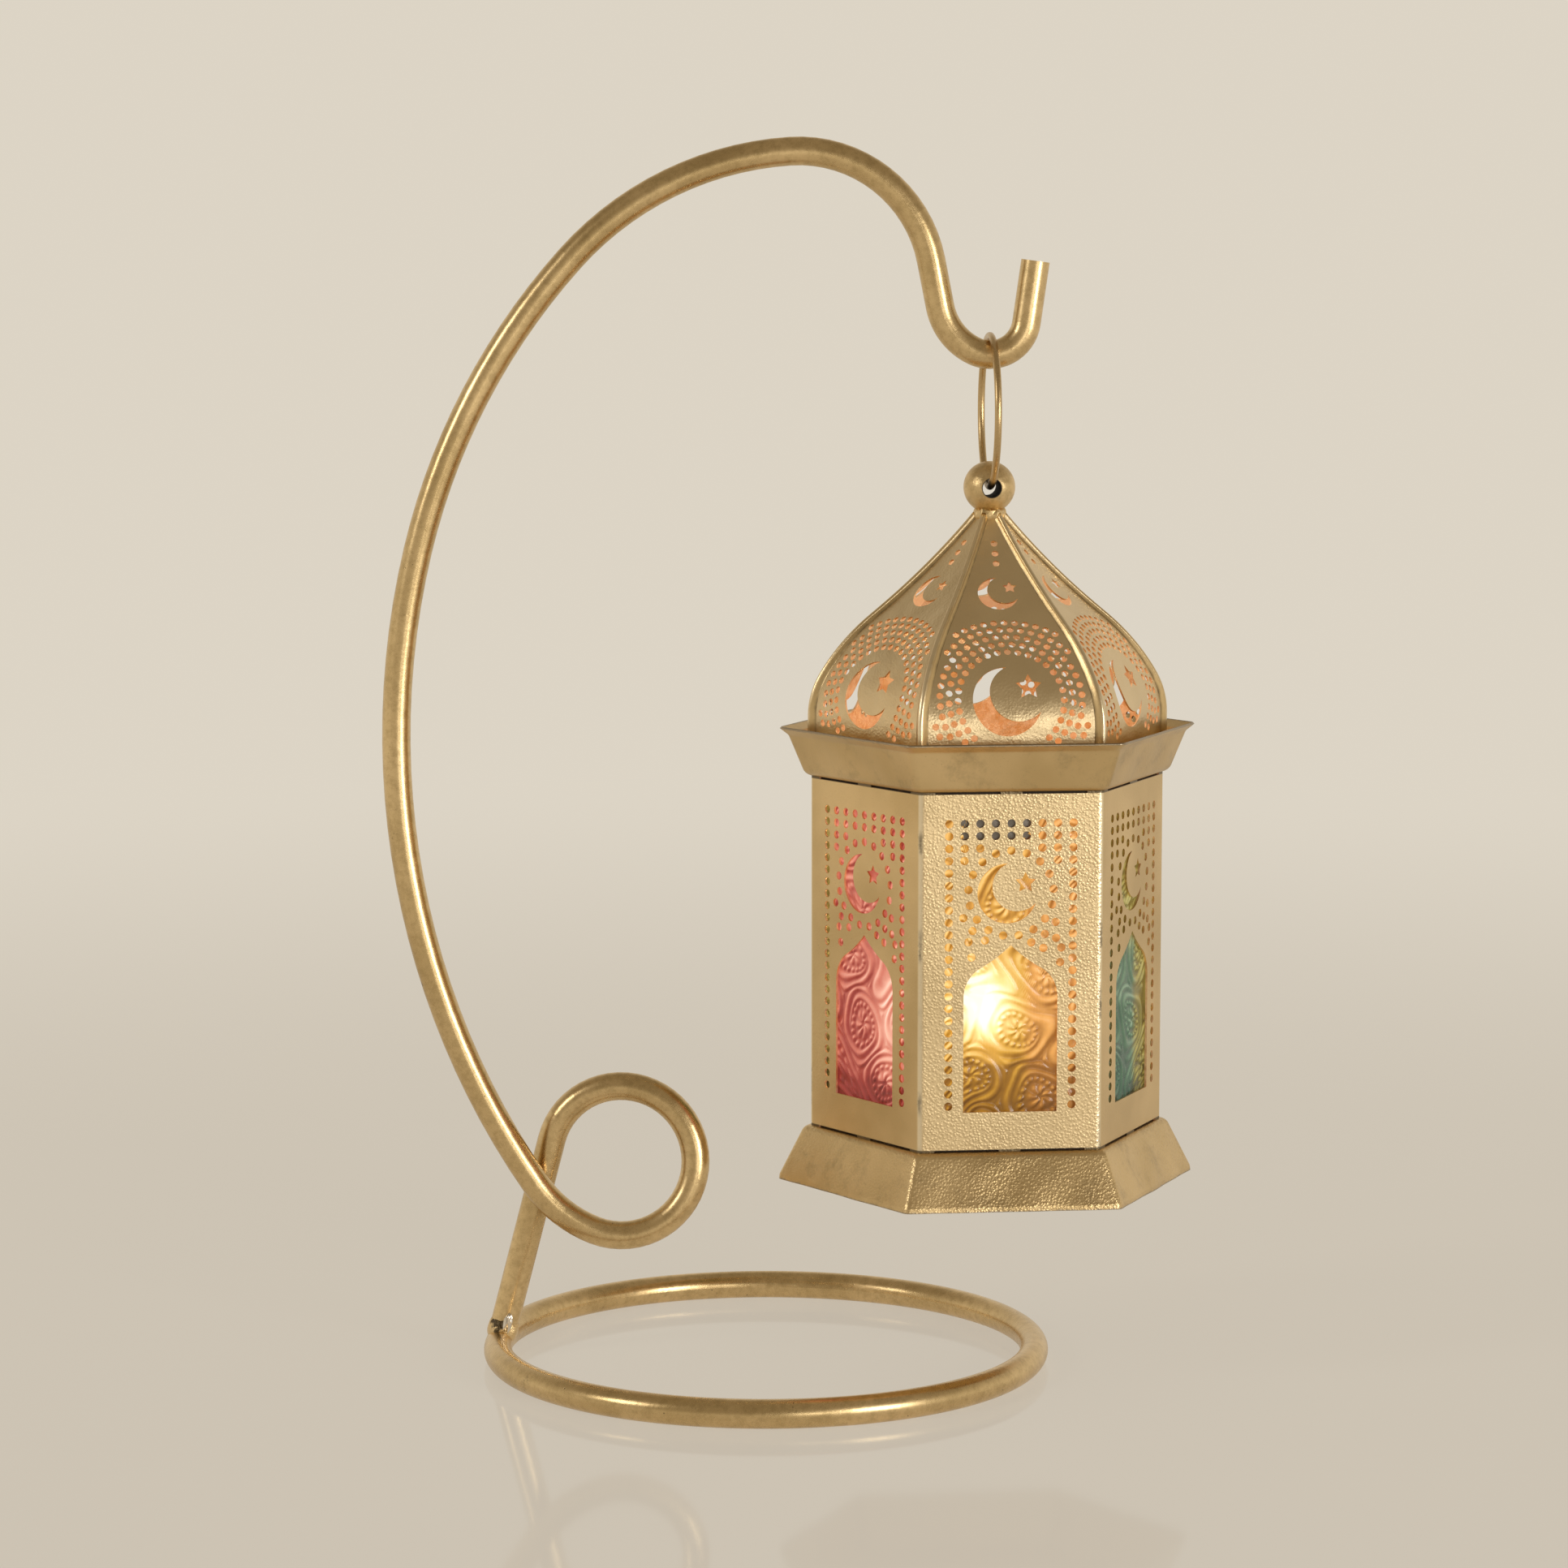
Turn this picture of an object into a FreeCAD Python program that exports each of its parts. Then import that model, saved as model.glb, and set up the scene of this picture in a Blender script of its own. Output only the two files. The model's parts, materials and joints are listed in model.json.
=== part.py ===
import FreeCAD, Part
import cmath
import math
import os
from types import SimpleNamespace

import Sketcher

# Candle lantern hanging from a bent-rod stand.
# Origin: centre of the stand's base ring, on the surface that it stands on.
# +X runs from the stem towards the lantern, -Y is the front, +Z is up. Millimetres and degrees.

SIZES = (
    ("rod_diameter", 8.0, "round bar of the stand"),
    ("base_ring_radius", 76.6, "base ring, to the middle of the bar"),
    ("foot_flat", 0.2, "depth of the flat under the base ring"),
    ("stem_inset", 1.5, "stem's end above the middle of the base ring's bar"),
    ("weld_length", 6.4, "weld along the base ring, from the stem's middle"),
    ("weld_height", 5.2, "weld up the stem, from its own middle"),
    ("weld_proud", 0.4, "weld past the side of the bar"),
    ("stem_lean", 75.5, "stem's angle above the table"),
    ("stem_length", 61.1, "straight stem, from the base ring to the loop"),
    ("loop_radius", 20.9, "loop, to the middle of the bar"),
    ("loop_turn", 277.0, "turn of the loop"),
    ("loop_gap", 0.6, "clear gap where the bar passes itself"),
    ("exit_radius", 36.4, "bend from the loop into the great arc"),
    ("exit_turn", 34.5, "turn of that bend"),
    ("flank_turn", 47.8, "turn of the great arc's long flank"),
    ("shoulder_radius", 187.7, "great arc above the flank"),
    ("shoulder_turn", 28.4, "turn of that stretch"),
    ("crown_turn", 44.1, "turn of the great arc's top"),
    ("neck_radius", 37.5, "bend over into the hook"),
    ("neck_turn", 82.5, "turn of that bend"),
    ("drop_length", 13.0, "straight drop before the hook"),
    ("hook_entry_radius", 17.4, "wide half of the hook's bend"),
    ("hook_entry_turn", 53.5, "turn of that half"),
    ("hook_radius", 10.2, "tight half of the hook's bend"),
    ("tip_lean", 8.0, "hook tip's lean from upright"),
    ("tip_length", 17.4, "straight tip of the hook"),
    ("saddle_reach", 62.6, "hook's lowest point, from the ring's centre"),
    ("saddle_height", 286.3, "hook's lowest point, to the middle of the bar"),
    ("link_radius", 21.0, "hanging ring, to the middle of the wire"),
    ("wire_diameter", 2.0, "wire of the hanging ring"),
    ("link_yaw", 4.0, "hanging ring's turn about the upright"),
    ("hang_gap", 0.3, "clearance where things hang on each other"),
    ("ball_diameter", 14.5, "finial ball"),
    ("ball_hole", 5.2, "cross hole through the ball"),
    ("collar_radius", 4.2, "collar under the ball"),
    ("collar_height", 1.2, "collar under the ball"),
    ("ball_neck_radius", 3.3, "where the ball meets its collar"),
    ("stud_diameter", 3.0, "stud under the collar"),
    ("stud_length", 8.0, "stud under the collar"),
    ("stud_clearance", 0.05, "radial clearance round the stud"),
    ("washer_radius", 5.0, "washer under the roof's tip"),
    ("washer_height", 0.8, "washer under the roof's tip"),
    ("nut_width", 5.5, "nut across its flats"),
    ("nut_height", 2.4, "nut on the stud"),
    ("lantern_yaw", 6.1, "lantern's turn about the upright"),
    ("body_side", 50.3, "side of the body's hexagon"),
    ("body_height", 99.6, "walls, between the two pans"),
    ("wall_sheet", 0.6, "sheet of the walls and pans"),
    ("fold_radius", 2.0, "outside radius of the walls' upright folds"),
    ("edge_relief", 0.5, "gap between a wall's edge and the pan"),
    ("corner_land", 3.0, "full-height stretch beside each fold"),
    ("tab_width", 6.0, "tab at the middle of a wall's edges"),
    ("tab_rise", 1.6, "tab's reach past the wall's edge"),
    ("slot_clearance", 0.2, "clearance round a tab in its slot"),
    ("roof_sheet", 0.5, "sheet of the dome"),
    ("roof_inset", 0.3, "dome's foot inside the walls' plane"),
    ("roof_wall", 16.3, "upright foot of the dome"),
    ("roof_low_radius", 25.0, "lower half of the dome's shoulder"),
    ("roof_low_turn", 27.0, "turn of that half"),
    ("roof_high_radius", 60.0, "upper half of the dome's shoulder"),
    ("roof_high_turn", 19.0, "turn of that half"),
    ("throat_radius", 200.0, "hollow bend below the dome's tip"),
    ("throat_turn", 10.0, "turn of that bend"),
    ("apex_apothem", 3.2, "half width of the dome's open tip"),
    ("seam_height", 0.9, "standing seam between petals"),
    ("seam_width", 0.9, "one petal's half of the seam"),
    ("cornice_opening", 30.0, "half width of the cornice's opening"),
    ("cornice_height", 13.5, "cornice pan"),
    ("cornice_bend", 3.0, "bend at the cornice's floor"),
    ("cornice_slope", 70.0, "cornice wall's angle above level"),
    ("cornice_lip", 2.4, "width of the cornice's rolled lip"),
    ("cornice_lip_slope", 42.0, "lip's angle above level"),
    ("foot_height", 15.3, "base pan"),
    ("foot_bend", 2.5, "bend at the base pan's floor"),
    ("foot_slope", 66.0, "base pan wall's angle below level"),
    ("foot_hem", 1.0, "steep hem of the base pan"),
    ("foot_hem_slope", 84.0, "hem's angle below level"),
    ("crease_bend", 2.0, "bend between a pan's wall and its lip or hem"),
    ("arch_width", 26.0, "pierced window"),
    ("arch_sill", 11.0, "window's sill above the wall's foot"),
    ("arch_spring", 43.0, "where the window's sides start to curve"),
    ("arch_shoulder_radius", 9.4, "window's shoulders"),
    ("arch_shoulder_turn", 55.0, "turn of the shoulders"),
    ("arch_point", 57.4, "window's point above the wall's foot"),
    ("arch_hollow", 0.4, "hollow of the curve up to the point"),
    ("moon_height", 71.7, "medallion's centre above the wall's foot"),
    ("moon_radius", 8.3, "outside of the wall's crescent"),
    ("moon_star", 2.9, "star beside the wall's crescent"),
    ("ring_radius", 11.8, "innermost ring of dots round the medallion"),
    ("ring_step", 2.95, "from one ring of dots to the next"),
    ("ring_pitch", 4.46, "dots along each ring outside the innermost one"),
    ("dot_diameter", 2.3, "pierced dots of the walls"),
    ("dot_pitch", 3.4, "dots up the walls"),
    ("dot_row_pitch", 4.25, "dots across the walls"),
    ("dot_margin", 8.0, "outer dots, from the corner of the wall"),
    ("dot_top_margin", 8.6, "top row of dots below the wall's edge"),
    ("dot_bridge", 0.7, "least metal between two dots"),
    ("arch_bridge", 1.5, "least metal between a dot and the window"),
    ("big_moon_rise", 24.5, "petal's large crescent, along the sheet"),
    ("big_moon_radius", 9.6, "petal's large crescent"),
    ("big_star", 3.7, "star beside the large crescent"),
    ("small_moon_drop", 27.0, "petal's small crescent, down from the tip"),
    ("small_moon_radius", 5.6, "petal's small crescent"),
    ("small_star", 2.0, "star beside the small crescent"),
    ("petal_dot", 1.9, "pierced dots of the petals"),
    ("petal_dot_pitch", 2.9, "dots along each ring on a petal"),
    ("petal_ring", 14.6, "innermost ring of dots on a petal"),
    ("petal_ring_step", 2.5, "from one ring of dots to the next"),
    ("petal_edge", 3.2, "outer dots, from the petal's seam"),
    ("tip_dot_drop", 9.6, "first dot of the petal's tip row, down from the tip"),
    ("tip_dot_pitch", 3.4, "dots of the petal's tip row"),
    ("pane_side_margin", 2.65, "pane's upright edge, from the corner of the wall"),
    ("pane_end_margin", 3.8, "pane's level edge, from the wall's edge"),
    ("pane_sheet", 1.0, "thickness of a pane"),
    ("pane_gap", 0.05, "play of a pane in its clips"),
    ("clip_width", 6.0, "pane clip"),
    ("clip_height", 2.0, "pane clip's foot, above or below the pane"),
    ("clip_lip", 2.5, "pane clip's lip over the pane"),
    ("clip_sheet", 0.5, "thickness of the lip"),
    ("door_gap", 0.5, "gap round the door"),
    ("hinge_offset", 1.7, "hinge axis outside the wall's plane"),
    ("knuckle_radius", 1.5, "hinge knuckle"),
    ("knuckle_length", 4.0, "hinge knuckle"),
    ("knuckle_gap", 0.15, "play between two knuckles"),
    ("pin_radius", 0.7, "hinge pin"),
    ("pin_clearance", 0.05, "radial clearance round the pin"),
    ("leaf_sheet", 0.5, "hinge leaf"),
    ("leaf_width", 6.0, "hinge leaf, from the corner"),
    ("leaf_bare", 2.5, "hinge leaf's notch for the other knuckle, from the corner"),
    ("hinge_margin", 16.0, "hinge's middle, from the wall's edge"),
    ("knob_head_radius", 2.3, "door knob"),
    ("knob_stem_radius", 1.2, "door knob"),
    ("knob_stem_length", 2.2, "door knob"),
    ("knob_edge", 3.4, "knob's middle, from the door's edge"),
    ("seat_height", 4.0, "candle seat"),
    ("seat_sheet", 0.6, "candle seat"),
    ("seat_flange", 3.0, "candle seat's flat flange"),
    ("seat_gap", 1.0, "play of the tealight in its seat"),
    ("cup_rest", 0.05, "tealight above the floor"),
    ("cup_radius", 19.0, "tealight cup"),
    ("cup_height", 16.0, "tealight cup"),
    ("cup_sheet", 0.3, "tealight cup"),
    ("wax_depth", 11.5, "wax in the cup"),
    ("wax_gap", 0.05, "between wax and cup"),
    ("wick_base_radius", 5.5, "wick's foot plate"),
    ("wick_base_sheet", 0.4, "wick's foot plate"),
    ("wick_radius", 0.8, "wick"),
    ("wick_rise", 6.0, "wick above the wax"),
)

# The lantern's sides are counted from the front one, towards +X; the rear side holds the door.
SIDES = 6
SECTOR = 360 / SIDES
DOOR_SIDE = 3

# How far a cutter reaches past a sheet, and the most that one span of the bent bar turns.
CUT_REACH = 4.0
LONGEST_SPAN = 46.0
NEARLY_STRAIGHT = 1e-4
NEARLY_PARALLEL = 1e-9

# Pierced ornament: counts, and shares of a crescent's or a star's radius.
STAR_POINTS = 5
STAR_WAIST = 0.52
MOON_HOLLOW = 0.83
MOON_OPENING = (0.33, 0.23)
WALL_MOON_SHIFT = -0.12
WALL_STAR_SHIFT = (0.48, 0.35)
PETAL_MOON_SHIFT = -0.1
PETAL_STAR_SHIFT = (0.52, 0.4)
WALL_RINGS = 4
PETAL_RINGS = 5
TIP_DOTS = 3

doc = FreeCAD.newDocument("candle_lantern")
sheet = doc.addObject("Spreadsheet::Sheet", "Sizes")
levels = doc.addObject("Spreadsheet::Sheet", "Levels")
pieces = []


class Size:
    """A number together with the sheet formula that gives the same number."""

    def __init__(self, number, formula):
        self.number = float(number)
        self.formula = formula

    def __float__(self):
        return self.number

    def __add__(self, other):
        other = as_size(other)
        return Size(self.number + other.number, f"({self.formula} + {other.formula})")

    def __sub__(self, other):
        other = as_size(other)
        return Size(self.number - other.number, f"({self.formula} - {other.formula})")

    def __mul__(self, other):
        other = as_size(other)
        return Size(self.number * other.number, f"({self.formula} * {other.formula})")

    def __truediv__(self, other):
        other = as_size(other)
        return Size(self.number / other.number, f"({self.formula} / {other.formula})")

    def __neg__(self):
        return Size(-self.number, f"(0 - {self.formula})")

    def __rsub__(self, other):
        return as_size(other) - self

    __radd__ = __add__
    __rmul__ = __mul__


def as_size(value):
    return value if isinstance(value, Size) else Size(value, repr(float(value)))


def sine(angle):
    return Size(math.sin(math.radians(float(angle))), f"sin({as_size(angle).formula})")


def cosine(angle):
    return Size(math.cos(math.radians(float(angle))), f"cos({as_size(angle).formula})")


def tangent(angle):
    return sine(angle) / cosine(angle)


def root(square):
    return Size(math.sqrt(float(square)), f"sqrt({square.formula})")


def fill_sheet():
    """Writes the driving sizes into the sheet and hands them out by name."""
    sizes = {}
    for row, (alias, number, note) in enumerate(SIZES, start=1):
        sheet.set(f"A{row}", note)
        sheet.set(f"B{row}", str(number))
        sheet.setAlias(f"B{row}", alias)
        sizes[alias] = Size(number, f"Sizes.{alias}")
    doc.recompute()
    return SimpleNamespace(**sizes)


level_names = []


def level(alias, size):
    """Keeps a worked-out size in the second sheet, so that later formulas stay short."""
    level_names.append(alias)
    cell = f"B{len(level_names)}"
    levels.set(cell, f"={size.formula}")
    levels.setAlias(cell, alias)
    return Size(size.number, f"Levels.{alias}")


def tie(thing, **sizes):
    """Binds each named property to its sheet formula."""
    for name, size in sizes.items():
        thing.setExpression(name, as_size(size).formula)
    return thing


def keep(thing, label):
    """Marks an object of the document as one sub-part of the lantern."""
    thing.Label = label
    pieces.append(thing)
    return thing


def shaped(name, shape):
    """A feature whose shape is worked out here from the sheet's sizes."""
    thing = doc.addObject("Part::Feature", name)
    thing.Shape = shape
    return thing


def boolean(kind, name, base, tool):
    thing = doc.addObject(kind, name)
    thing.Base = base
    thing.Tool = tool
    return thing


def group(name, members):
    """One sub-part made of other objects: several loose ones, or a placed copy of one pressing."""
    thing = doc.addObject("Part::Compound", name)
    thing.Links = members
    return thing


s = fill_sheet()

# Levels and half widths that several pieces share, from the hook downwards.
rod_radius = s.rod_diameter / 2
wire_radius = s.wire_diameter / 2
saddle_top = s.saddle_height + rod_radius
link_height = level("link_height", saddle_top + s.hang_gap + wire_radius - s.link_radius)
link_bottom = level("link_bottom", link_height - s.link_radius)
ball_radius = s.ball_diameter / 2
mouth = root(ball_radius * ball_radius - s.ball_hole * s.ball_hole / 4)
wire_rise = s.link_radius - root(s.link_radius * s.link_radius - mouth * mouth)
ball_height = level(
    "ball_height", link_bottom + wire_rise + wire_radius + s.hang_gap - s.ball_hole / 2
)
ball_seat = root(ball_radius * ball_radius - s.ball_neck_radius * s.ball_neck_radius)
apex_height = level("apex_height", ball_height - ball_seat - s.collar_height)

half_sector = SECTOR / 2
apothem = level("apothem", s.body_side / (2 * tangent(half_sector)))
roof_apothem = level("roof_apothem", apothem - s.roof_inset)
roof_mid_angle = level("roof_mid_angle", s.roof_low_turn + s.roof_high_turn)
roof_top_angle = level("roof_top_angle", roof_mid_angle - s.throat_turn)
roof_bends_width = (
    s.roof_low_radius * (1 - cosine(s.roof_low_turn))
    + s.roof_high_radius * (cosine(s.roof_low_turn) - cosine(roof_mid_angle))
    + s.throat_radius * (cosine(roof_top_angle) - cosine(roof_mid_angle))
)
roof_slope = level(
    "roof_slope", (roof_apothem - s.apex_apothem - roof_bends_width) / sine(roof_mid_angle)
)
roof_height = level(
    "roof_height",
    s.roof_wall
    + s.roof_low_radius * sine(s.roof_low_turn)
    + s.roof_high_radius * (sine(roof_mid_angle) - sine(s.roof_low_turn))
    + roof_slope * cosine(roof_mid_angle)
    + s.throat_radius * (sine(roof_mid_angle) - sine(roof_top_angle)),
)
roof_foot = level("roof_foot", apex_height - roof_height)
wall_top = level("wall_top", roof_foot - s.wall_sheet)
floor_height = level("floor_height", wall_top - s.body_height)
inner_apothem = level("inner_apothem", apothem - s.wall_sheet)
half_side = s.body_side / 2
flat_half = level("flat_half", (apothem - s.fold_radius) * tangent(half_sector))
door_half = level("door_half", flat_half - s.door_gap)
doc.recompute()


def lantern_frame(height, turn=0.0):
    """The lantern's own frame at a height, turned to one of its sides."""
    spot = FreeCAD.Vector(float(s.saddle_reach), 0, float(height))
    return FreeCAD.Placement(spot, FreeCAD.Rotation(FreeCAD.Vector(0, 0, 1), float(s.lantern_yaw) + turn))


def hang(thing, height, turn=0.0, yaw=s.lantern_yaw):
    """Binds a piece's place to the lantern's axis, a height and one of its sides."""
    tie(thing, **{"Placement.Base.x": s.saddle_reach, "Placement.Base.z": height})
    return tie(thing, **{"Placement.Rotation.Angle": yaw + turn})


def shift(reach, way, turn):
    """Plane movement along a straight of that length or a bend of that radius."""
    start = cmath.rect(1, math.radians(way))
    if turn == 0:
        return reach * start
    end = cmath.rect(1, math.radians(way + turn))
    return math.copysign(1, turn) * 1j * reach * (start - end)


def trace(start, way, moves):
    """Follows straights and bends in a plane: each leg's start, middle, end and end direction."""
    legs = []
    for reach, turn in moves:
        middle = start + (shift(reach, way, turn / 2) if turn else shift(reach, way, 0) / 2)
        end = start + shift(reach, way, turn)
        way += turn
        legs.append((start, middle, end, way))
        start = end
    return legs


def upright(spot):
    """A plane point, outwards and up, as a point of the front side's middle plane."""
    return FreeCAD.Vector(0, -spot.real, spot.imag)


def leg_edge(leg, bent):
    start, middle, end = (upright(spot) for spot in leg[:3])
    if bent:
        return Part.Arc(start, middle, end).toShape()
    return Part.LineSegment(start, end).toShape()


def strip_face(start, way, moves, thickness):
    """Section of a bent sheet: one face follows the moves, the other lies to its left."""
    side = start + thickness * cmath.rect(1, math.radians(way + 90))
    inner_moves = []
    for reach, turn in moves:
        inner_moves.append((reach - thickness * math.copysign(1, turn), turn) if turn else (reach, turn))
    outer = trace(start, way, moves)
    inner = trace(side, way, inner_moves)
    bent = [turn != 0 for reach, turn in moves]
    edges = [leg_edge(leg, bend) for leg, bend in zip(outer, bent)]
    edges.append(Part.LineSegment(upright(outer[-1][2]), upright(inner[-1][2])).toShape())
    edges += [leg_edge(leg, bend) for leg, bend in zip(reversed(inner), reversed(bent))]
    edges.append(Part.LineSegment(upright(side), upright(start)).toShape())
    return Part.Face(Part.Wire(Part.__sortEdges__(edges)))


def sector(low, high, inset=0.0):
    """The wedge of space that belongs to the front side, its two planes moved in by the inset."""
    apex = -inset / math.sin(math.radians(half_sector))
    reach = 4 * float(s.body_side)
    spread = reach * math.tan(math.radians(half_sector))
    corners = [(0, apex), (-spread, apex - reach), (spread, apex - reach), (0, apex)]
    outline = Part.makePolygon([FreeCAD.Vector(x, y, low) for x, y in corners])
    return Part.Face(outline).extrude(FreeCAD.Vector(0, 0, high - low))


def across(face):
    """Carries a section sideways, past both neighbouring sides."""
    reach = 2 * float(s.body_side)
    sheet_run = face.extrude(FreeCAD.Vector(2 * reach, 0, 0))
    sheet_run.translate(FreeCAD.Vector(-reach, 0, 0))
    return sheet_run


def six_sided(face, low, high):
    """A pressed pan: one side's section, mitred at its two corners and repeated round the axis."""
    side = across(face).common(sector(low, high))
    sides = []
    for index in range(SIDES):
        turned = side.copy()
        turned.rotate(FreeCAD.Vector(), FreeCAD.Vector(0, 0, 1), index * SECTOR)
        sides.append(turned)
    return sides[0].multiFuse(sides[1:]).removeSplitter()


def block(low, high):
    """A box between two opposite corners."""
    corner = FreeCAD.Vector(*(float(value) for value in low))
    span = [float(high[axis]) - float(low[axis]) for axis in range(3)]
    return Part.makeBox(*span, corner)


def origin_plane(body, role):
    return next(plane for plane in body.Origin.OriginFeatures if plane.Role == role)


def pin_point(sketch, kind, index, end, size):
    """Fixes one coordinate of a sketch point to the sheet."""
    if size.number == 0:
        axis = -2 if kind == "DistanceX" else -1
        sketch.addConstraint(Sketcher.Constraint("PointOnObject", index, end, axis))
        return
    if size.number < 0:
        size = -size
        number = sketch.addConstraint(Sketcher.Constraint(kind, index, end, -1, 1, size.number))
    else:
        number = sketch.addConstraint(Sketcher.Constraint(kind, -1, 1, index, end, size.number))
    sketch.setExpression(f"Constraints[{number}]", size.formula)


def arc_between(start, end, radius):
    """Counter-clockwise arc of less than a half circle."""
    chord = end - start
    rise = math.sqrt(max(radius**2 - chord.Length**2 / 4, 0))
    inward = FreeCAD.Vector(-chord.y, chord.x, 0).normalize()
    centre = (start + end) * 0.5 + inward * rise
    from_centre = [point - centre for point in (start, end)]
    angles = [math.atan2(point.y, point.x) for point in from_centre]
    return Part.ArcOfCircle(Part.Circle(centre, FreeCAD.Vector(0, 0, 1), radius), *angles)


def draw_outline(body, role, corners, arcs=None, reverse_arcs=None):
    """A closed sketch through sheet-bound corners; arcs give the radius after a corner."""
    arcs = arcs or {}
    reverse_arcs = reverse_arcs or {}
    sketch = body.newObject("Sketcher::SketchObject", f"{body.Name}_outline")
    sketch.AttachmentSupport = [(origin_plane(body, role), "")]
    sketch.MapMode = "FlatFace"
    corners = [(as_size(x), as_size(y)) for x, y in corners]
    spots = [FreeCAD.Vector(float(x), float(y), 0) for x, y in corners]
    count = len(corners)
    for index in range(count):
        start, end = spots[index], spots[(index + 1) % count]
        if index in arcs:
            sketch.addGeometry(arc_between(start, end, float(arcs[index])))
        elif index in reverse_arcs:
            sketch.addGeometry(arc_between(end, start, float(reverse_arcs[index])))
        else:
            sketch.addGeometry(Part.LineSegment(start, end))
    for index in range(count):
        following = (index + 1) % count
        leaves = 1 if index in reverse_arcs else 2
        enters = 2 if following in reverse_arcs else 1
        sketch.addConstraint(Sketcher.Constraint("Coincident", index, leaves, following, enters))
        begins = 2 if index in reverse_arcs else 1
        pin_point(sketch, "DistanceX", index, begins, corners[index][0])
        pin_point(sketch, "DistanceY", index, begins, corners[index][1])
    for index, radius in {**arcs, **reverse_arcs}.items():
        number = sketch.addConstraint(Sketcher.Constraint("Radius", index, float(radius)))
        sketch.setExpression(f"Constraints[{number}]", radius.formula)
    return sketch


def turned_body(name, corners, arcs=None):
    """A piece turned about its upright axis, from half its section."""
    body = doc.addObject("PartDesign::Body", name)
    sketch = draw_outline(body, "XZ_Plane", corners, arcs)
    turn = body.newObject("PartDesign::Revolution", f"{name}_turn")
    turn.Profile = sketch
    turn.ReferenceAxis = (sketch, ["V_Axis"])
    turn.Angle = 360
    doc.recompute()
    return body


# Stand: base ring, bent stem with its loop and hook, weld

def way_vector(way, slope):
    """Direction of the bar from its heading in the stand's plane and its sideways slope."""
    heading = math.radians(way)
    return FreeCAD.Vector(math.cos(heading), slope, math.sin(heading)).normalize()


def stem_moves():
    """The bar's straights and bends; the two great radii are solved so that it meets the saddle."""
    turn_to_hook = (
        float(s.loop_turn)
        + float(s.exit_turn)
        + float(s.flank_turn)
        + float(s.shoulder_turn)
        + float(s.crown_turn)
        + float(s.neck_turn)
    )
    saddle_turn = turn_to_hook - float(s.stem_lean) - float(s.hook_entry_turn) - 360
    moves = [
        (float(s.stem_length), 0.0),
        (float(s.loop_radius), -float(s.loop_turn)),
        (float(s.exit_radius), -float(s.exit_turn)),
        (1.0, -float(s.flank_turn)),
        (float(s.shoulder_radius), -float(s.shoulder_turn)),
        (1.0, -float(s.crown_turn)),
        (float(s.neck_radius), -float(s.neck_turn)),
        (float(s.drop_length), 0.0),
        (float(s.hook_entry_radius), float(s.hook_entry_turn)),
        (float(s.hook_radius), saddle_turn),
    ]
    flank, crown = 3, 5
    rest = complex(float(s.saddle_reach), float(s.saddle_height)) - stem_foot
    unit = {}
    way = float(s.stem_lean)
    for index, (reach, turn) in enumerate(moves):
        if index in (flank, crown):
            unit[index] = shift(1.0, way, turn)
        else:
            rest -= shift(reach, way, turn)
        way += turn
    scale = (unit[flank].conjugate() * unit[crown]).imag
    moves[flank] = ((rest.conjugate() * unit[crown]).imag / scale, moves[flank][1])
    moves[crown] = ((unit[flank].conjugate() * rest).imag / scale, moves[crown][1])
    moves.append((float(s.hook_radius), 90 - float(s.tip_lean)))
    moves.append((float(s.tip_length), 0.0))
    return moves


def stem_stations(moves):
    """Points and directions along the bar, with its sideways step from stem to arc in the loop."""
    side = (float(s.rod_diameter) + float(s.loop_gap)) / 2
    sideways = [(side, side), (side, -side), (-side, -side), (-side, 0.0)]
    sideways += [(0.0, 0.0)] * (len(moves) - len(sideways))
    spot, way = stem_foot, float(s.stem_lean)
    first = spot + shift(float(s.stem_inset), way, 0)
    stations = [(FreeCAD.Vector(first.real, side, first.imag), way_vector(way, 0))]
    for (reach, turn), (before, after) in zip(moves, sideways):
        spans = max(1, math.ceil(abs(turn) / LONGEST_SPAN))
        length = math.radians(abs(turn)) * reach if turn else reach
        for span in range(1, spans + 1):
            share = span / spans
            spot += shift(reach, way, turn / spans) if turn else reach * cmath.rect(1, math.radians(way))
            way += turn / spans
            offset = before + (after - before) * (1 - math.cos(math.pi * share)) / 2
            slope = (after - before) * math.pi / 2 * math.sin(math.pi * share) / length
            stations.append((FreeCAD.Vector(spot.real, offset, spot.imag), way_vector(way, slope)))
    return stations


def arc_or_line(start, knee, end):
    """The round corner that touches both lines through the knee at the given ends."""
    middle = (start + end) * 0.5
    height = (knee - middle).Length
    half_chord = (end - start).Length / 2
    if height < NEARLY_STRAIGHT * half_chord:
        return Part.LineSegment(start, end).toShape()
    bulge = half_chord * math.tan(math.atan2(height, half_chord) / 2)
    return Part.Arc(start, middle + (knee - middle) * (bulge / height), end).toShape()


def two_arcs(start, start_way, end, end_way):
    """A pair of arcs that leaves one station and reaches the next in the stated directions."""
    chord = end - start
    both = chord.dot(start_way + end_way)
    opening = 2 * (1 - start_way.dot(end_way))
    if opening < NEARLY_PARALLEL:
        reach = chord.dot(chord) / (2 * both)
    else:
        reach = (math.sqrt(both**2 + opening * chord.dot(chord)) - both) / opening
    first_knee = start + start_way * reach
    second_knee = end - end_way * reach
    joint = (first_knee + second_knee) * 0.5
    return [arc_or_line(start, first_knee, joint), arc_or_line(joint, second_knee, end)]


ring_middle = rod_radius - s.foot_flat
stem_side = (float(s.rod_diameter) + float(s.loop_gap)) / 2
stem_foot = complex(-math.sqrt(float(s.base_ring_radius) ** 2 - stem_side**2), float(ring_middle))

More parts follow.
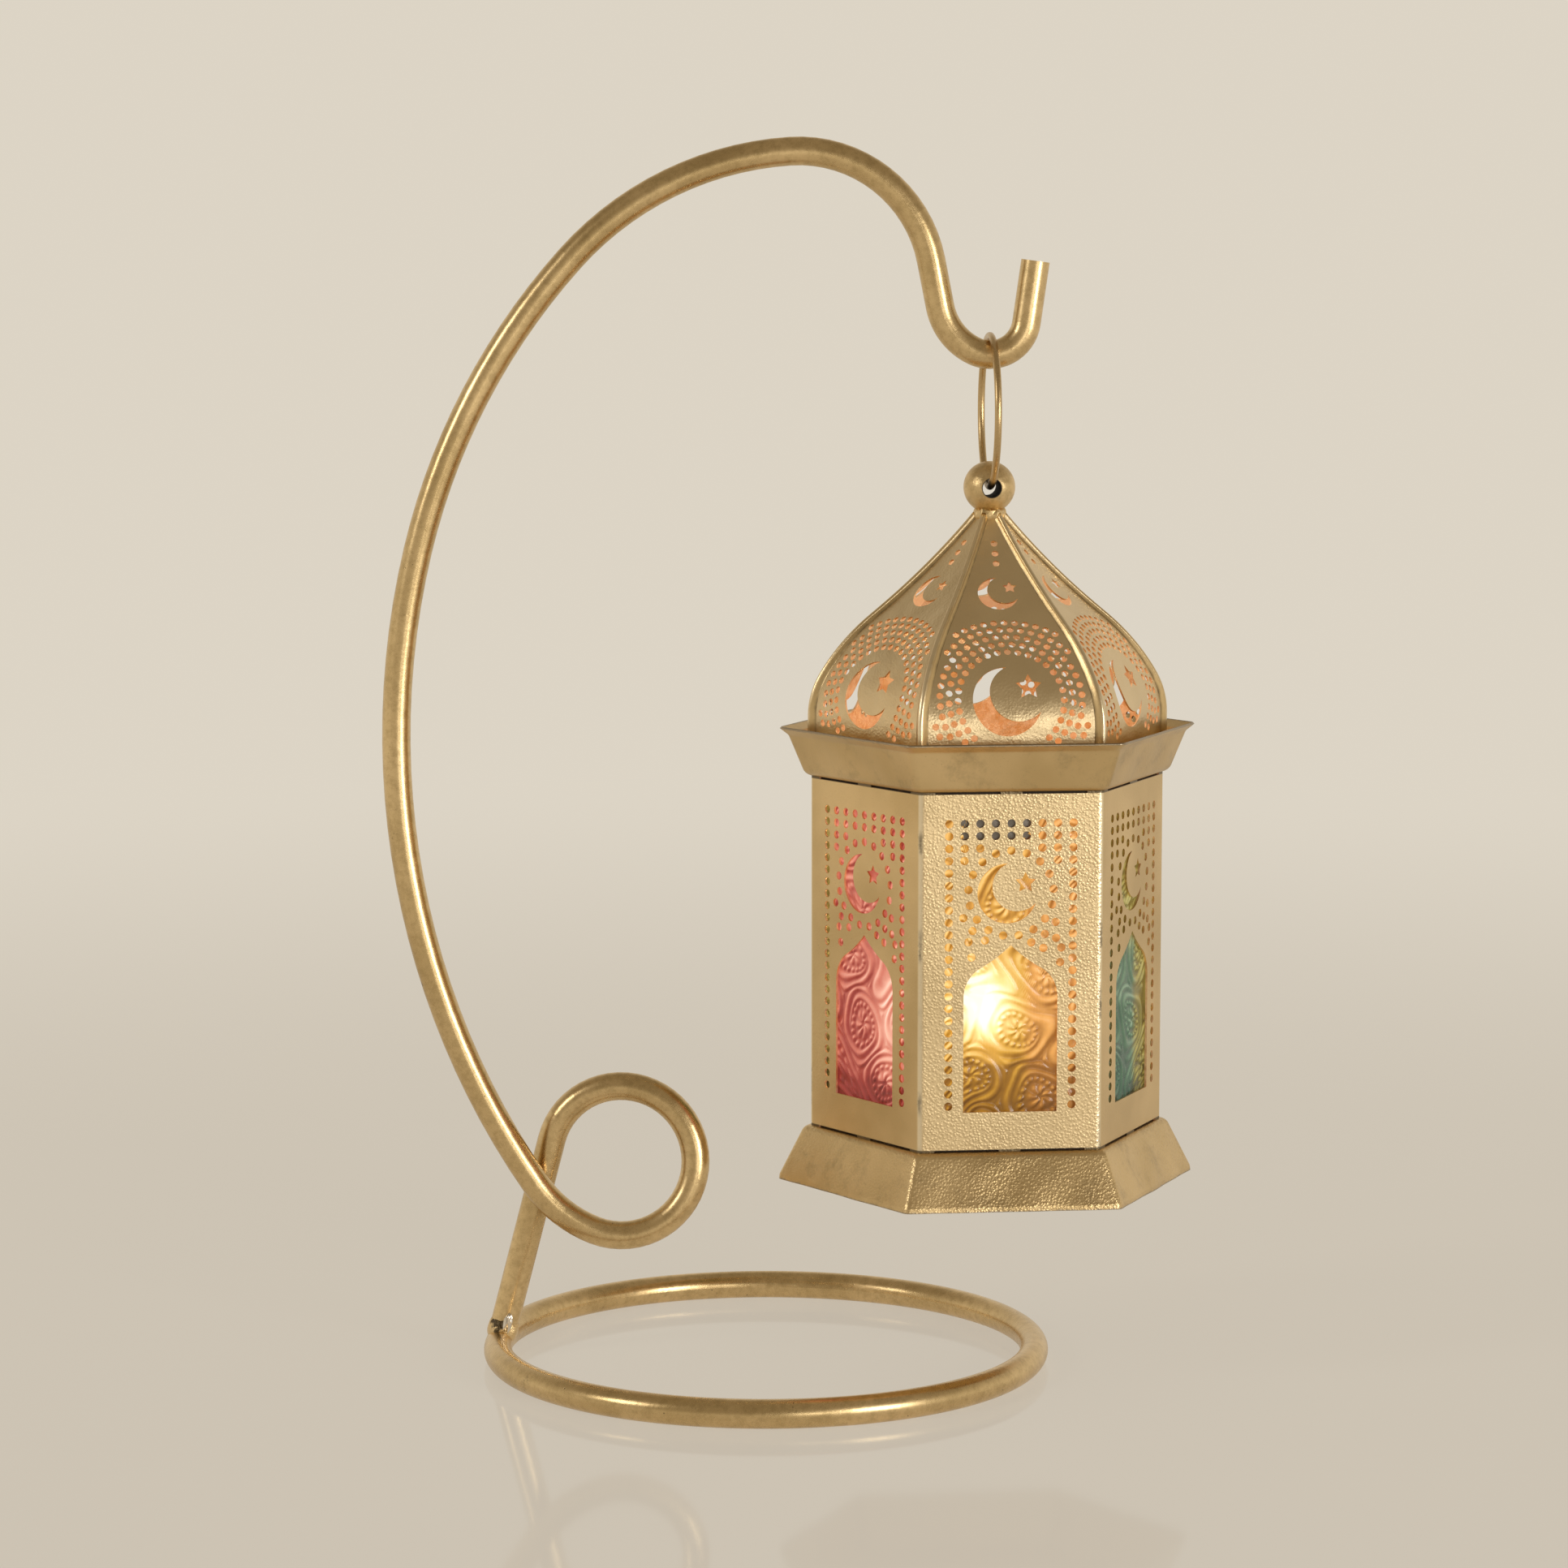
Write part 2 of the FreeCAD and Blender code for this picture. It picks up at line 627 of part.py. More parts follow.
ring_bar = doc.addObject("Part::Torus", "ring_bar")
tie(ring_bar, Radius1=s.base_ring_radius, Radius2=rod_radius)
tie(ring_bar, **{"Placement.Base.z": ring_middle})
ring_width = 2 * (s.base_ring_radius + s.rod_diameter)
ground = doc.addObject("Part::Box", "ground")
tie(ground, Length=ring_width, Width=ring_width, Height=s.rod_diameter)
tie(ground, **{"Placement.Base.x": -(ring_width / 2), "Placement.Base.y": -(ring_width / 2)})
tie(ground, **{"Placement.Base.z": -s.rod_diameter})
base_ring = keep(boolean("Part::Cut", "base_ring", ring_bar, ground), "base_ring")

moves = stem_moves()
stations = stem_stations(moves)
path_edges = []
for (start, start_way), (end, end_way) in zip(stations, stations[1:]):
    path_edges += two_arcs(start, start_way, end, end_way)
stem_path = shaped("stem_path", Part.Wire(path_edges))
stem_section = doc.addObject("Part::Circle", "stem_section")
tie(stem_section, Radius=rod_radius)
stem_section.Placement = FreeCAD.Placement(
    stations[0][0], FreeCAD.Rotation(FreeCAD.Vector(0, 0, 1), stations[0][1])
)
stem_bar = doc.addObject("Part::Sweep", "stem_bar")
stem_bar.Sections = [stem_section]
stem_bar.Spine = (stem_path, [f"Edge{index + 1}" for index in range(len(path_edges))])
stem_bar.Solid = True
hook_stem = keep(boolean("Part::Cut", "hook_stem", stem_bar, base_ring), "hook_stem")

weld_bead = doc.addObject("Part::Ellipsoid", "weld_bead")
tie(weld_bead, Radius1=s.weld_height, Radius2=rod_radius + s.weld_proud, Radius3=s.weld_length)
weld_spot = stem_foot + shift(float(s.rod_diameter) / 2, float(s.stem_lean), 0)
weld_bead.Placement = FreeCAD.Placement(
    FreeCAD.Vector(weld_spot.real, stem_side, weld_spot.imag),
    FreeCAD.Rotation(FreeCAD.Vector(0, 0, 1), way_vector(float(s.stem_lean), 0)),
)
weld_on_ring = boolean("Part::Cut", "weld_on_ring", weld_bead, base_ring)
stem_weld = keep(boolean("Part::Cut", "stem_weld", weld_on_ring, stem_bar), "stem_weld")

# Hanging ring: wire in a plane across the hook, nearly square to the stand's plane

hanging_ring = keep(doc.addObject("Part::Torus", "hanging_ring"), "hanging_ring")
tie(hanging_ring, Radius1=s.link_radius, Radius2=wire_radius)
hanging_ring.Placement.Rotation = FreeCAD.Rotation(
    FreeCAD.Vector(0, 0, 1), float(s.link_yaw)
) * FreeCAD.Rotation(FreeCAD.Vector(0, 1, 0), 90)
tie(hanging_ring, **{"Placement.Base.x": s.saddle_reach, "Placement.Base.z": link_height})

# Finial: ball with a cross hole, collar and stud, held under the roof by a washer and a nut

stud_radius = s.stud_diameter / 2
collar_top = s.stud_length + s.collar_height
ball_centre = collar_top + ball_seat
finial_ball = keep(
    turned_body(
        "finial_ball",
        [
            (0, 0),
            (stud_radius, 0),
            (stud_radius, s.stud_length),
            (s.collar_radius, s.stud_length),
            (s.collar_radius, collar_top),
            (s.ball_neck_radius, collar_top),
            (0, ball_centre + ball_radius),
        ],
        {5: ball_radius},
    ),
    "finial_ball",
)
hole_sketch = finial_ball.newObject("Sketcher::SketchObject", "ball_hole_outline")
hole_sketch.AttachmentSupport = [(origin_plane(finial_ball, "XZ_Plane"), "")]
hole_sketch.MapMode = "FlatFace"
hole_centre = FreeCAD.Vector(0, float(ball_centre), 0)
hole_sketch.addGeometry(Part.Circle(hole_centre, FreeCAD.Vector(0, 0, 1), float(s.ball_hole) / 2))
hole_sketch.addConstraint(Sketcher.Constraint("PointOnObject", 0, 3, -2))
pin_point(hole_sketch, "DistanceY", 0, 3, ball_centre)
hole_size = hole_sketch.addConstraint(Sketcher.Constraint("Diameter", 0, float(s.ball_hole)))
hole_sketch.setExpression(f"Constraints[{hole_size}]", s.ball_hole.formula)
ball_hole = finial_ball.newObject("PartDesign::Pocket", "ball_hole")
ball_hole.Profile = hole_sketch
ball_hole.Type = "ThroughAll"
ball_hole.Midplane = True
hang(finial_ball, apex_height - s.stud_length, yaw=s.link_yaw)

washer_reach = s.washer_radius + s.stud_clearance + s.roof_sheet / cosine(roof_top_angle)
washer_drop = (washer_reach - s.apex_apothem) / tangent(roof_top_angle)
washer_foot = level("washer_foot", apex_height - washer_drop - s.washer_height)
nut_foot = level("nut_foot", washer_foot - s.nut_height)


def on_stud(name, blank, height, foot):
    """Gives a blank its height, bores it for the stud and hangs it on the lantern's axis."""
    tie(blank, Height=height)
    bore = doc.addObject("Part::Cylinder", f"{name}_bore")
    tie(bore, Radius=stud_radius + s.stud_clearance, Height=height)
    piece = keep(boolean("Part::Cut", name, blank, bore), name)
    return hang(piece, foot)


washer_blank = doc.addObject("Part::Cylinder", "washer_blank")
tie(washer_blank, Radius=s.washer_radius)
nut_blank = doc.addObject("Part::Prism", "nut_blank")
nut_blank.Polygon = SIDES
tie(nut_blank, Circumradius=s.nut_width / (2 * cosine(half_sector)))
on_stud("crown_washer", washer_blank, s.washer_height, washer_foot)
on_stud("crown_nut", nut_blank, s.nut_height, nut_foot)
doc.recompute()

# Piercing: dots, crescents and stars, drawn flat with the sheet's outside towards +Z


def punch(face):
    """A cutter that passes through the sheet on both sides."""
    face.translate(FreeCAD.Vector(0, 0, -CUT_REACH))
    return face.extrude(FreeCAD.Vector(0, 0, 2 * CUT_REACH))


def dot(x, y, diameter):
    return Part.makeCylinder(diameter / 2, 2 * CUT_REACH, FreeCAD.Vector(x, y, -CUT_REACH))


def crescent(x, y, radius):
    """A moon open to the upper right: a disc less a smaller disc set towards its opening."""
    hollow = MOON_HOLLOW * radius
    set_off = FreeCAD.Vector(MOON_OPENING[0] * radius, MOON_OPENING[1] * radius, 0)
    normal = FreeCAD.Vector(0, 0, 1)
    centre = FreeCAD.Vector(x, y, 0)
    discs = []
    for middle, size in ((centre, radius), (centre + set_off, hollow)):
        discs.append(Part.Face(Part.Wire(Part.Circle(middle, normal, size).toShape())))
    return punch(discs[0].cut(discs[1]).Faces[0])


def star(x, y, radius):
    """Five points with fat arms, standing on two of them."""
    points = []
    for index in range(2 * STAR_POINTS + 1):
        reach = radius if index % 2 == 0 else STAR_WAIST * radius
        angle = math.radians(90 + 180 / STAR_POINTS * index)
        points.append(FreeCAD.Vector(x + reach * math.cos(angle), y + reach * math.sin(angle), 0))
    return punch(Part.Face(Part.makePolygon(points)))


def onto_sheet(shape, outwards, height, way):
    """Lays a flat drawing on the front side where the sheet rises in the given direction."""
    turn = FreeCAD.Rotation(FreeCAD.Vector(1, 0, 0), 180 - way)
    shape.Placement = FreeCAD.Placement(FreeCAD.Vector(0, -outwards, height), turn)
    return shape


def arch_legs():
    """Right half of the window, from its sill up to its point."""
    half = float(s.arch_width) / 2
    start = complex(half, float(s.arch_sill))
    rise = float(s.arch_spring) - float(s.arch_sill)
    shoulder = (float(s.arch_shoulder_radius), float(s.arch_shoulder_turn))
    legs = trace(start, 90.0, [(rise, 0.0), shoulder])
    knee = legs[-1][2]
    point = complex(0, float(s.arch_point))
    chord = point - knee
    hollow = (knee + point) / 2 + 1j * chord / abs(chord) * float(s.arch_hollow)
    return [leg[:3] for leg in legs] + [(knee, hollow, point)]


def arch_face():
    """The whole window: a sill, two straight sides, two shoulders and two hollow curves to a point."""
    edges = []
    for mirror in (1, -1):
        for index, leg in enumerate(arch_legs()):
            spots = [FreeCAD.Vector(mirror * spot.real, spot.imag, 0) for spot in leg]
            if index == 0:
                edges.append(Part.LineSegment(spots[0], spots[2]).toShape())
            else:
                edges.append(Part.Arc(*spots).toShape())
    half, sill = float(s.arch_width) / 2, float(s.arch_sill)
    edges.append(Part.LineSegment(FreeCAD.Vector(-half, sill, 0), FreeCAD.Vector(half, sill, 0)).toShape())
    return Part.Face(Part.Wire(Part.__sortEdges__(edges)))


def sift(spots, taken, least):
    """Keeps each spot that stands at least that far from every spot kept before it."""
    for spot in spots:
        if all(abs(spot - other) >= least for other in taken):
            taken.append(spot)
    return taken


def ring_spots(centre, radius, pitch, first_angle):
    """Dots evenly spaced round a circle, from a first angle."""
    count = round(2 * math.pi * radius / pitch)
    return [centre + cmath.rect(radius, first_angle + 2 * math.pi * index / count) for index in range(count)]


def wall_dots(window):
    """A frame of dots, three rows at the top and rings that widen from the medallion to the window."""
    half = float(half_side) - float(s.dot_margin)
    top = float(s.body_height) - float(s.dot_top_margin)
    pitch, row_pitch = float(s.dot_pitch), float(s.dot_row_pitch)
    least = float(s.dot_diameter) + float(s.dot_bridge)
    rows = int((top - float(s.arch_sill)) / pitch) + 1
    taken = [complex(side * half, top - row * pitch) for row in range(rows) for side in (-1, 1)]
    columns = round(2 * half / row_pitch)
    spread = [-half + 2 * half * index / columns for index in range(1, columns)]
    centre = complex(0, float(s.moon_height))
    medallion = float(s.ring_radius)
    top_rows = [complex(x, top - row * pitch) for row in range(2) for x in spread]
    sift(top_rows, taken, least)
    sift(ring_spots(centre, medallion, row_pitch, math.pi / 2), taken, least)
    third_row = [complex(x, top - 2 * pitch) for x in spread]
    sift([spot for spot in third_row if abs(spot - centre) > medallion], taken, least)
    inner = half - row_pitch
    beside = [complex(side * inner, top - row * pitch) for row in range(3, rows) for side in (-1, 1)]
    around = [spot for spot in beside if abs(spot - centre) > medallion and spot.imag > centre.imag - pitch]
    sift(around, taken, least)
    for ring in range(1, WALL_RINGS + 1):
        radius = medallion + ring * float(s.ring_step)
        first_angle = -math.pi / 2 + ring * math.pi / 2 / WALL_RINGS
        spots = ring_spots(centre, radius, float(s.ring_pitch), first_angle)
        low = [spot for spot in spots if spot.imag < centre.imag - pitch and abs(spot.real) < half]
        sift(low, taken, least)
    clear = float(s.dot_diameter) / 2 + float(s.arch_bridge)
    vertex = [Part.Vertex(spot.real, spot.imag, 0) for spot in taken]
    return [spot for spot, point in zip(taken, vertex) if window.distToShape(point)[0] > clear]


def wall_piercing():
    """Everything cut through one wall, in the wall's own plane."""
    window = arch_face()
    height, moon = float(s.moon_height), float(s.moon_radius)
    cutters = [dot(spot.real, spot.imag, float(s.dot_diameter)) for spot in wall_dots(window)]
    star_x, star_y = WALL_STAR_SHIFT
    cutters.append(crescent(WALL_MOON_SHIFT * moon, height, moon))
    cutters.append(star(star_x * moon, height + star_y * moon, float(s.moon_star)))
    cutters.append(punch(window))
    return onto_sheet(Part.makeCompound(cutters), float(apothem), 0.0, 90.0)


# Dome: six pierced petals, each a sheet bent over its height, with a standing seam at both edges

petal_moves = [
    (float(s.roof_wall), 0.0),
    (float(s.roof_low_radius), float(s.roof_low_turn)),
    (float(s.roof_high_radius), float(s.roof_high_turn)),
    (float(roof_slope), 0.0),
    (float(s.throat_radius), -float(s.throat_turn)),
]
petal_start = complex(float(roof_apothem), 0)
petal_length = sum(math.radians(abs(turn)) * reach if turn else reach for reach, turn in petal_moves)


def petal_spot(along):
    """Place and rising direction on the petal's outside at a length along the sheet."""
    spot, way = petal_start, 90.0
    for reach, turn in petal_moves:
        length = math.radians(abs(turn)) * reach if turn else reach
        share = min(max(along / length, 0), 1)
        if share == 0:
            break
        step = turn * share
        spot += shift(reach, way, step) if turn else shift(reach * share, way, 0)
        way += step
        along -= length
    return spot, way


def petal_dots():
    """Rings of dots over the large crescent, kept clear of the seams and of the small crescent."""
    centre = complex(0, float(s.big_moon_rise))
    small = complex(0, petal_length - float(s.small_moon_drop))
    pitch, width = float(s.petal_dot_pitch), float(s.petal_dot)
    low = float(s.cornice_height) - float(s.wall_sheet)
    taken = []
    for ring in range(PETAL_RINGS):
        radius = float(s.petal_ring) + ring * float(s.petal_ring_step)
        for spot in ring_spots(centre, radius, pitch, math.pi / 2 + ring * pitch / radius / 2):
            place = petal_spot(spot.imag)[0]
            edge = place.real * math.tan(math.radians(half_sector)) - float(s.petal_edge)
            clear_moon = abs(spot - small) > float(s.small_moon_radius) + width
            if abs(spot.real) < edge and spot.imag > low and clear_moon:
                sift([spot], taken, width + float(s.dot_bridge) / 2)
    for index in range(TIP_DOTS):
        along = petal_length - float(s.tip_dot_drop) - index * float(s.tip_dot_pitch)
        taken.append(complex(0, along))
    return taken


def tab_notch():
    """Notch in a petal's foot for the wall's tab, which comes up through the cornice there."""
    half = s.tab_width / 2 + s.slot_clearance
    top = s.tab_rise - s.wall_sheet + s.slot_clearance
    low = (-half, -(roof_apothem + CUT_REACH), -CUT_REACH)
    return block(low, (half, CUT_REACH - roof_apothem, top))


def petal_piercing():
    """Everything cut through one petal, each cut square to the sheet where it lies."""

    def lay(shape, along):
        spot, way = petal_spot(along)
        return onto_sheet(shape, spot.real, spot.imag, way)

    cutters = [lay(dot(spot.real, 0, float(s.petal_dot)), spot.imag) for spot in petal_dots()]
    big, small = float(s.big_moon_radius), float(s.small_moon_radius)
    big_along, small_along = float(s.big_moon_rise), petal_length - float(s.small_moon_drop)
    for along, moon, tip in ((big_along, big, s.big_star), (small_along, small, s.small_star)):
        star_x, star_y = PETAL_STAR_SHIFT
        cutters.append(lay(crescent(PETAL_MOON_SHIFT * moon, 0, moon), along))
        cutters.append(lay(star(star_x * moon, star_y * moon, float(tip)), along))
    cutters.append(tab_notch())
    return Part.makeCompound(cutters)


def petal_blank():
    """The bent sheet between its two mitre planes, with half a seam standing along each of them."""
    top = float(roof_height)
    wedge = sector(0.0, top)
    skin = across(strip_face(petal_start, 90.0, petal_moves, float(s.roof_sheet))).common(wedge)
    seam = across(strip_face(petal_start, 90.0, petal_moves, -float(s.seam_height))).common(wedge)
    seams = seam.cut(sector(-CUT_REACH, top + CUT_REACH, float(s.seam_width)))
    return skin.fuse(seams).removeSplitter()


petal_sheet = shaped("petal_sheet", petal_blank())
petal_cutters = shaped("petal_cutters", petal_piercing())
pierced_petal = boolean("Part::Cut", "pierced_petal", petal_sheet, petal_cutters)
for index in range(SIDES):
    name = f"roof_petal_{index + 1}"
    hang(keep(group(name, [pierced_petal]), name), roof_foot, index * SECTOR)

# Pans: the cornice tray under the dome and the base pan with the lantern's foot


def pan_slots():
    """Slots for the walls' tabs, on every side but the door's."""
    half = s.tab_width / 2 + s.slot_clearance
    reach = 2 * s.tab_rise
    near, far = inner_apothem - s.slot_clearance, apothem + s.slot_clearance
    slots = []
    for index in range(SIDES):
        if index == DOOR_SIDE:
            continue
        slot = block((-half, -far, -reach), (half, -near, reach))
        slot.rotate(FreeCAD.Vector(), FreeCAD.Vector(0, 0, 1), index * SECTOR)
        slots.append(slot)
    return Part.makeCompound(slots)


def bend_size(radius, low, high):
    """Width and height of a bend between two slopes."""
    low, high = math.radians(low), math.radians(high)
    return radius * (math.sin(high) - math.sin(low)), radius * (math.cos(low) - math.cos(high))


def cornice_shape():
    """Floor with an opening, a bend up into the flaring wall and a lip rolled outwards."""
    slope, lip_slope = float(s.cornice_slope), float(s.cornice_lip_slope)
    bend, crease, lip = float(s.cornice_bend), float(s.crease_bend), float(s.cornice_lip)
    used = bend_size(bend, 0, slope)[1] + bend_size(crease, lip_slope, slope)[1]
    used += lip * math.sin(math.radians(lip_slope))
    wall = (float(s.cornice_height) - used) / math.sin(math.radians(slope))
    opening = float(s.cornice_opening)
    cornice_moves = [
        (float(inner_apothem) - opening, 0.0),
        (bend, slope),
        (wall, 0.0),
        (crease, lip_slope - slope),
        (lip, 0.0),
    ]
    face = strip_face(complex(opening, 0), 0.0, cornice_moves, float(s.wall_sheet))
    return six_sided(face, -float(s.cornice_height), 2 * float(s.cornice_height))


def foot_shape():
    """Flat floor, a round shoulder, a sloping skirt and a steep hem, in one pressing."""
    slope, hem_slope = float(s.foot_slope), float(s.foot_hem_slope)
    bend, crease, hem = float(s.foot_bend), float(s.crease_bend), float(s.foot_hem)
    used = bend_size(bend, 0, slope)[1] + bend_size(crease, slope, hem_slope)[1]
    used += hem * math.sin(math.radians(hem_slope))
    skirt = (float(s.foot_height) - used) / math.sin(math.radians(slope))
    foot_moves = [
        (float(apothem), 0.0),
        (bend, -slope),
        (skirt, 0.0),
        (crease, slope - hem_slope),
        (hem, 0.0),
    ]
    face = strip_face(complex(0, 0), 0.0, foot_moves, -float(s.wall_sheet))
    return six_sided(face, -float(s.foot_height), float(s.foot_height))


tab_slots = shaped("tab_slots", pan_slots())
cornice_pressing = shaped("cornice_pressing", cornice_shape())
foot_pressing = shaped("foot_pressing", foot_shape())
hang(keep(boolean("Part::Cut", "cornice_pan", cornice_pressing, tab_slots), "cornice_pan"), wall_top)
hang(keep(boolean("Part::Cut", "base_pan", foot_pressing, tab_slots), "base_pan"), floor_height)

# Walls: five folded and pierced panels with tabs, and the door in the sixth side


def wall_section():
    """Level section of a wall: flat sheet whose ends turn half the fold, up to the mitre planes."""
    fold_side, fold_rise = sine(half_sector), cosine(half_sector)
    inner_fold = s.fold_radius - s.wall_sheet
    fold_middle = apothem - s.fold_radius
    outer = (flat_half + s.fold_radius * fold_side, -(fold_middle + s.fold_radius * fold_rise))
    inner = (flat_half + inner_fold * fold_side, -(fold_middle + inner_fold * fold_rise))
    right = [(flat_half, -apothem), outer, inner, (flat_half, -inner_apothem)]
    left = [(-x, y) for x, y in reversed(right)]
    return right + left, {0: s.fold_radius, 6: s.fold_radius}, {2: inner_fold, 4: inner_fold}


def edge_trim():
    """What is cut from a wall's edges: a relief between the corner lands, and all beside the tab."""
    tab, land = float(s.tab_width) / 2, float(flat_half) - float(s.corner_land)
    height, past = float(s.body_height), 2 * float(s.tab_rise)
    relief, beyond = float(s.edge_relief), float(s.body_side)
    steps = [(tab, relief), (land, relief), (land, 0), (beyond, 0), (beyond, -past), (tab, -past)]
    steps.append(steps[0])
    cutters = []
    for across_way in (1, -1):
        for base, up_way in ((0.0, 1), (height, -1)):
            points = [FreeCAD.Vector(across_way * x, base + up_way * y, 0) for x, y in steps]
            cutters.append(punch(Part.Face(Part.makePolygon(points))))
    return onto_sheet(Part.makeCompound(cutters), float(apothem), 0.0, 90.0)


wall_body = doc.addObject("PartDesign::Body", "wall_body")
wall_outline = draw_outline(wall_body, "XY_Plane", *wall_section())
tie(wall_outline, **{"AttachmentOffset.Base.z": -s.tab_rise})
wall_pad = wall_body.newObject("PartDesign::Pad", "wall_pad")
wall_pad.Profile = wall_outline
tie(wall_pad, Length=s.body_height + 2 * s.tab_rise)
doc.recompute()
wall_trim = shaped("wall_trim", edge_trim())
wall_sheet = boolean("Part::Cut", "wall_sheet", wall_body, wall_trim)
wall_cutters = shaped("wall_cutters", wall_piercing())

door_sheet = doc.addObject("Part::Box", "door_sheet")
tie(door_sheet, Length=2 * door_half, Width=s.wall_sheet, Height=s.body_height - 2 * s.door_gap)
tie(door_sheet, **{"Placement.Base.x": -door_half, "Placement.Base.y": -apothem})
tie(door_sheet, **{"Placement.Base.z": s.door_gap})
doc.recompute()

pane_width = level("pane_width", s.body_side - 2 * s.pane_side_margin)
pane_height = level("pane_height", s.body_height - 2 * s.pane_end_margin)
doc.recompute()
wall_sides = [index for index in range(SIDES) if index != DOOR_SIDE]


def fit_pane(name, turn):
    """A coloured pane just inside the wall or door of that side."""
    pane = keep(doc.addObject("Part::Box", name), name)
    tie(pane, Length=pane_width, Width=s.pane_sheet, Height=pane_height)
    corner = (-float(pane_width) / 2, float(s.pane_gap - inner_apothem), float(s.pane_end_margin))
    pane.Placement = lantern_frame(floor_height, turn) * FreeCAD.Placement(
        FreeCAD.Vector(*corner), FreeCAD.Rotation()
    )


def clip_pair():
    """Two clips of one side: a foot past the pane's edge and a lip over its inner face."""
    half = s.clip_width / 2
    wall_face = -inner_apothem
    lip_face = wall_face + s.pane_sheet + 2 * s.pane_gap
    clips = []
    for edge, way in ((s.pane_end_margin, -1), (s.pane_end_margin + pane_height, 1)):
        near = edge + way * s.pane_gap
        far = near + way * s.clip_height
        over = edge - way * s.clip_lip
        foot_low, foot_high = sorted((float(near), float(far)))
        lip_low, lip_high = sorted((float(over), float(far)))
        foot = block((-half, wall_face, foot_low), (half, lip_face + s.clip_sheet, foot_high))
        lip = block((-half, lip_face, lip_low), (half, lip_face + s.clip_sheet, lip_high))
        clips.append(foot.fuse(lip).removeSplitter())
    return clips


def placed(shapes, turn):
    """Copies of shapes drawn in a side's own frame, put on that side of the lantern."""
    copies = []
    for shape in shapes:
        copy = shape.copy()
        copy.Placement = lantern_frame(floor_height, turn) * copy.Placement
        copies.append(copy)
    return copies


pierced_wall = boolean("Part::Cut", "pierced_wall", wall_sheet, wall_cutters)
for number, index in enumerate(wall_sides, start=1):
    name = f"wall_panel_{number}"
    hang(keep(group(name, [pierced_wall]), name), floor_height, index * SECTOR)
    fit_pane(f"pane_{number}", index * SECTOR)
wall_clips = [clip for index in wall_sides for clip in placed(clip_pair(), index * SECTOR)]
keep(shaped("pane_clips", Part.makeCompound(wall_clips)), "pane_clips")

door_turn = DOOR_SIDE * SECTOR
door_panel = keep(boolean("Part::Cut", "door_panel", door_sheet, wall_cutters), "door_panel")
hang(door_panel, floor_height, door_turn)
fit_pane("door_pane", door_turn)
keep(shaped("door_clips", Part.makeCompound(placed(clip_pair(), door_turn))), "door_clips")

# Door hinges: knuckles on an axis outside the corner, on its mitre plane, and a knob opposite

hinge_reach = (apothem + s.hinge_offset) * tangent(half_sector)
hinge_out = apothem + s.hinge_offset
knuckle_half = s.knuckle_length / 2
hinge_heights = (s.hinge_margin, s.body_height - s.hinge_margin)
door_span = (-knuckle_half + s.knuckle_gap, knuckle_half - s.knuckle_gap)
frame_spans = ((-3 * knuckle_half, -knuckle_half), (knuckle_half, 3 * knuckle_half))


def knuckle(side, middle, span, bare):
    """One rolled knuckle with its arm on the sheet's outside, from the axis to a stop on the sheet."""
    low, high = (float(middle + edge) for edge in span)
    axis = FreeCAD.Vector(side * float(hinge_reach), -float(hinge_out), low)
    barrel = Part.makeCylinder(float(s.knuckle_radius), high - low, axis)
    ends = sorted((side * float(hinge_reach), side * (float(half_side) - float(bare))))
    arm = block((ends[0], -(apothem + s.leaf_sheet), low), (ends[1], -apothem, high))
    bore = Part.makeCylinder(float(s.pin_radius + s.pin_clearance), high - low, axis)
    return barrel.fuse(arm).cut(bore)


def frame_leaf(middle):
    """Two knuckles on one plate, which is notched beside the door's knuckle."""
    arms = [knuckle(1, middle, span, s.leaf_bare) for span in frame_spans]
    low, high = middle + frame_spans[0][0], middle + frame_spans[1][1]
    plate = block(
        (half_side - s.leaf_width, -(apothem + s.leaf_sheet), low), (half_side - s.leaf_bare, -apothem, high)
    )
    return plate.multiFuse(arms).removeSplitter()


frame_turn = door_turn - SECTOR
frame_leaves = placed([frame_leaf(middle) for middle in hinge_heights], frame_turn)
keep(shaped("frame_hinge", Part.makeCompound(frame_leaves)), "frame_hinge")
door_leaves = [knuckle(-1, middle, door_span, s.leaf_width) for middle in hinge_heights]
keep(shaped("door_hinge", Part.makeCompound(placed(door_leaves, door_turn))), "door_hinge")

hinge_pins = []
for number, middle in enumerate(hinge_heights, start=1):
    hinge_pin = doc.addObject("Part::Cylinder", f"hinge_pin_{number}")
    tie(hinge_pin, Radius=s.pin_radius, Height=3 * s.knuckle_length)
    foot = FreeCAD.Vector(-float(hinge_reach), -float(hinge_out), float(middle + frame_spans[0][0]))
    hinge_pin.Placement = lantern_frame(floor_height, door_turn) * FreeCAD.Placement(foot, FreeCAD.Rotation())
    hinge_pins.append(hinge_pin)
keep(group("hinge_pins", hinge_pins), "hinge_pins")

door_knob = keep(
    turned_body(
        "door_knob",
        [
            (0, 0),
            (s.knob_stem_radius, 0),
            (s.knob_stem_radius, s.knob_stem_length),
            (s.knob_head_radius, s.knob_stem_length),
            (0, s.knob_stem_length + s.knob_head_radius),
        ],
        {3: s.knob_head_radius},
    ),
    "door_knob",
)
knob_spot = FreeCAD.Vector(float(door_half - s.knob_edge), -float(apothem), float(s.body_height) / 2)
door_knob.Placement = lantern_frame(floor_height, door_turn) * FreeCAD.Placement(
    knob_spot, FreeCAD.Rotation(FreeCAD.Vector(1, 0, 0), 90)
)

# Candle: a seat on the floor and a tealight of cup, wax, wick plate and wick

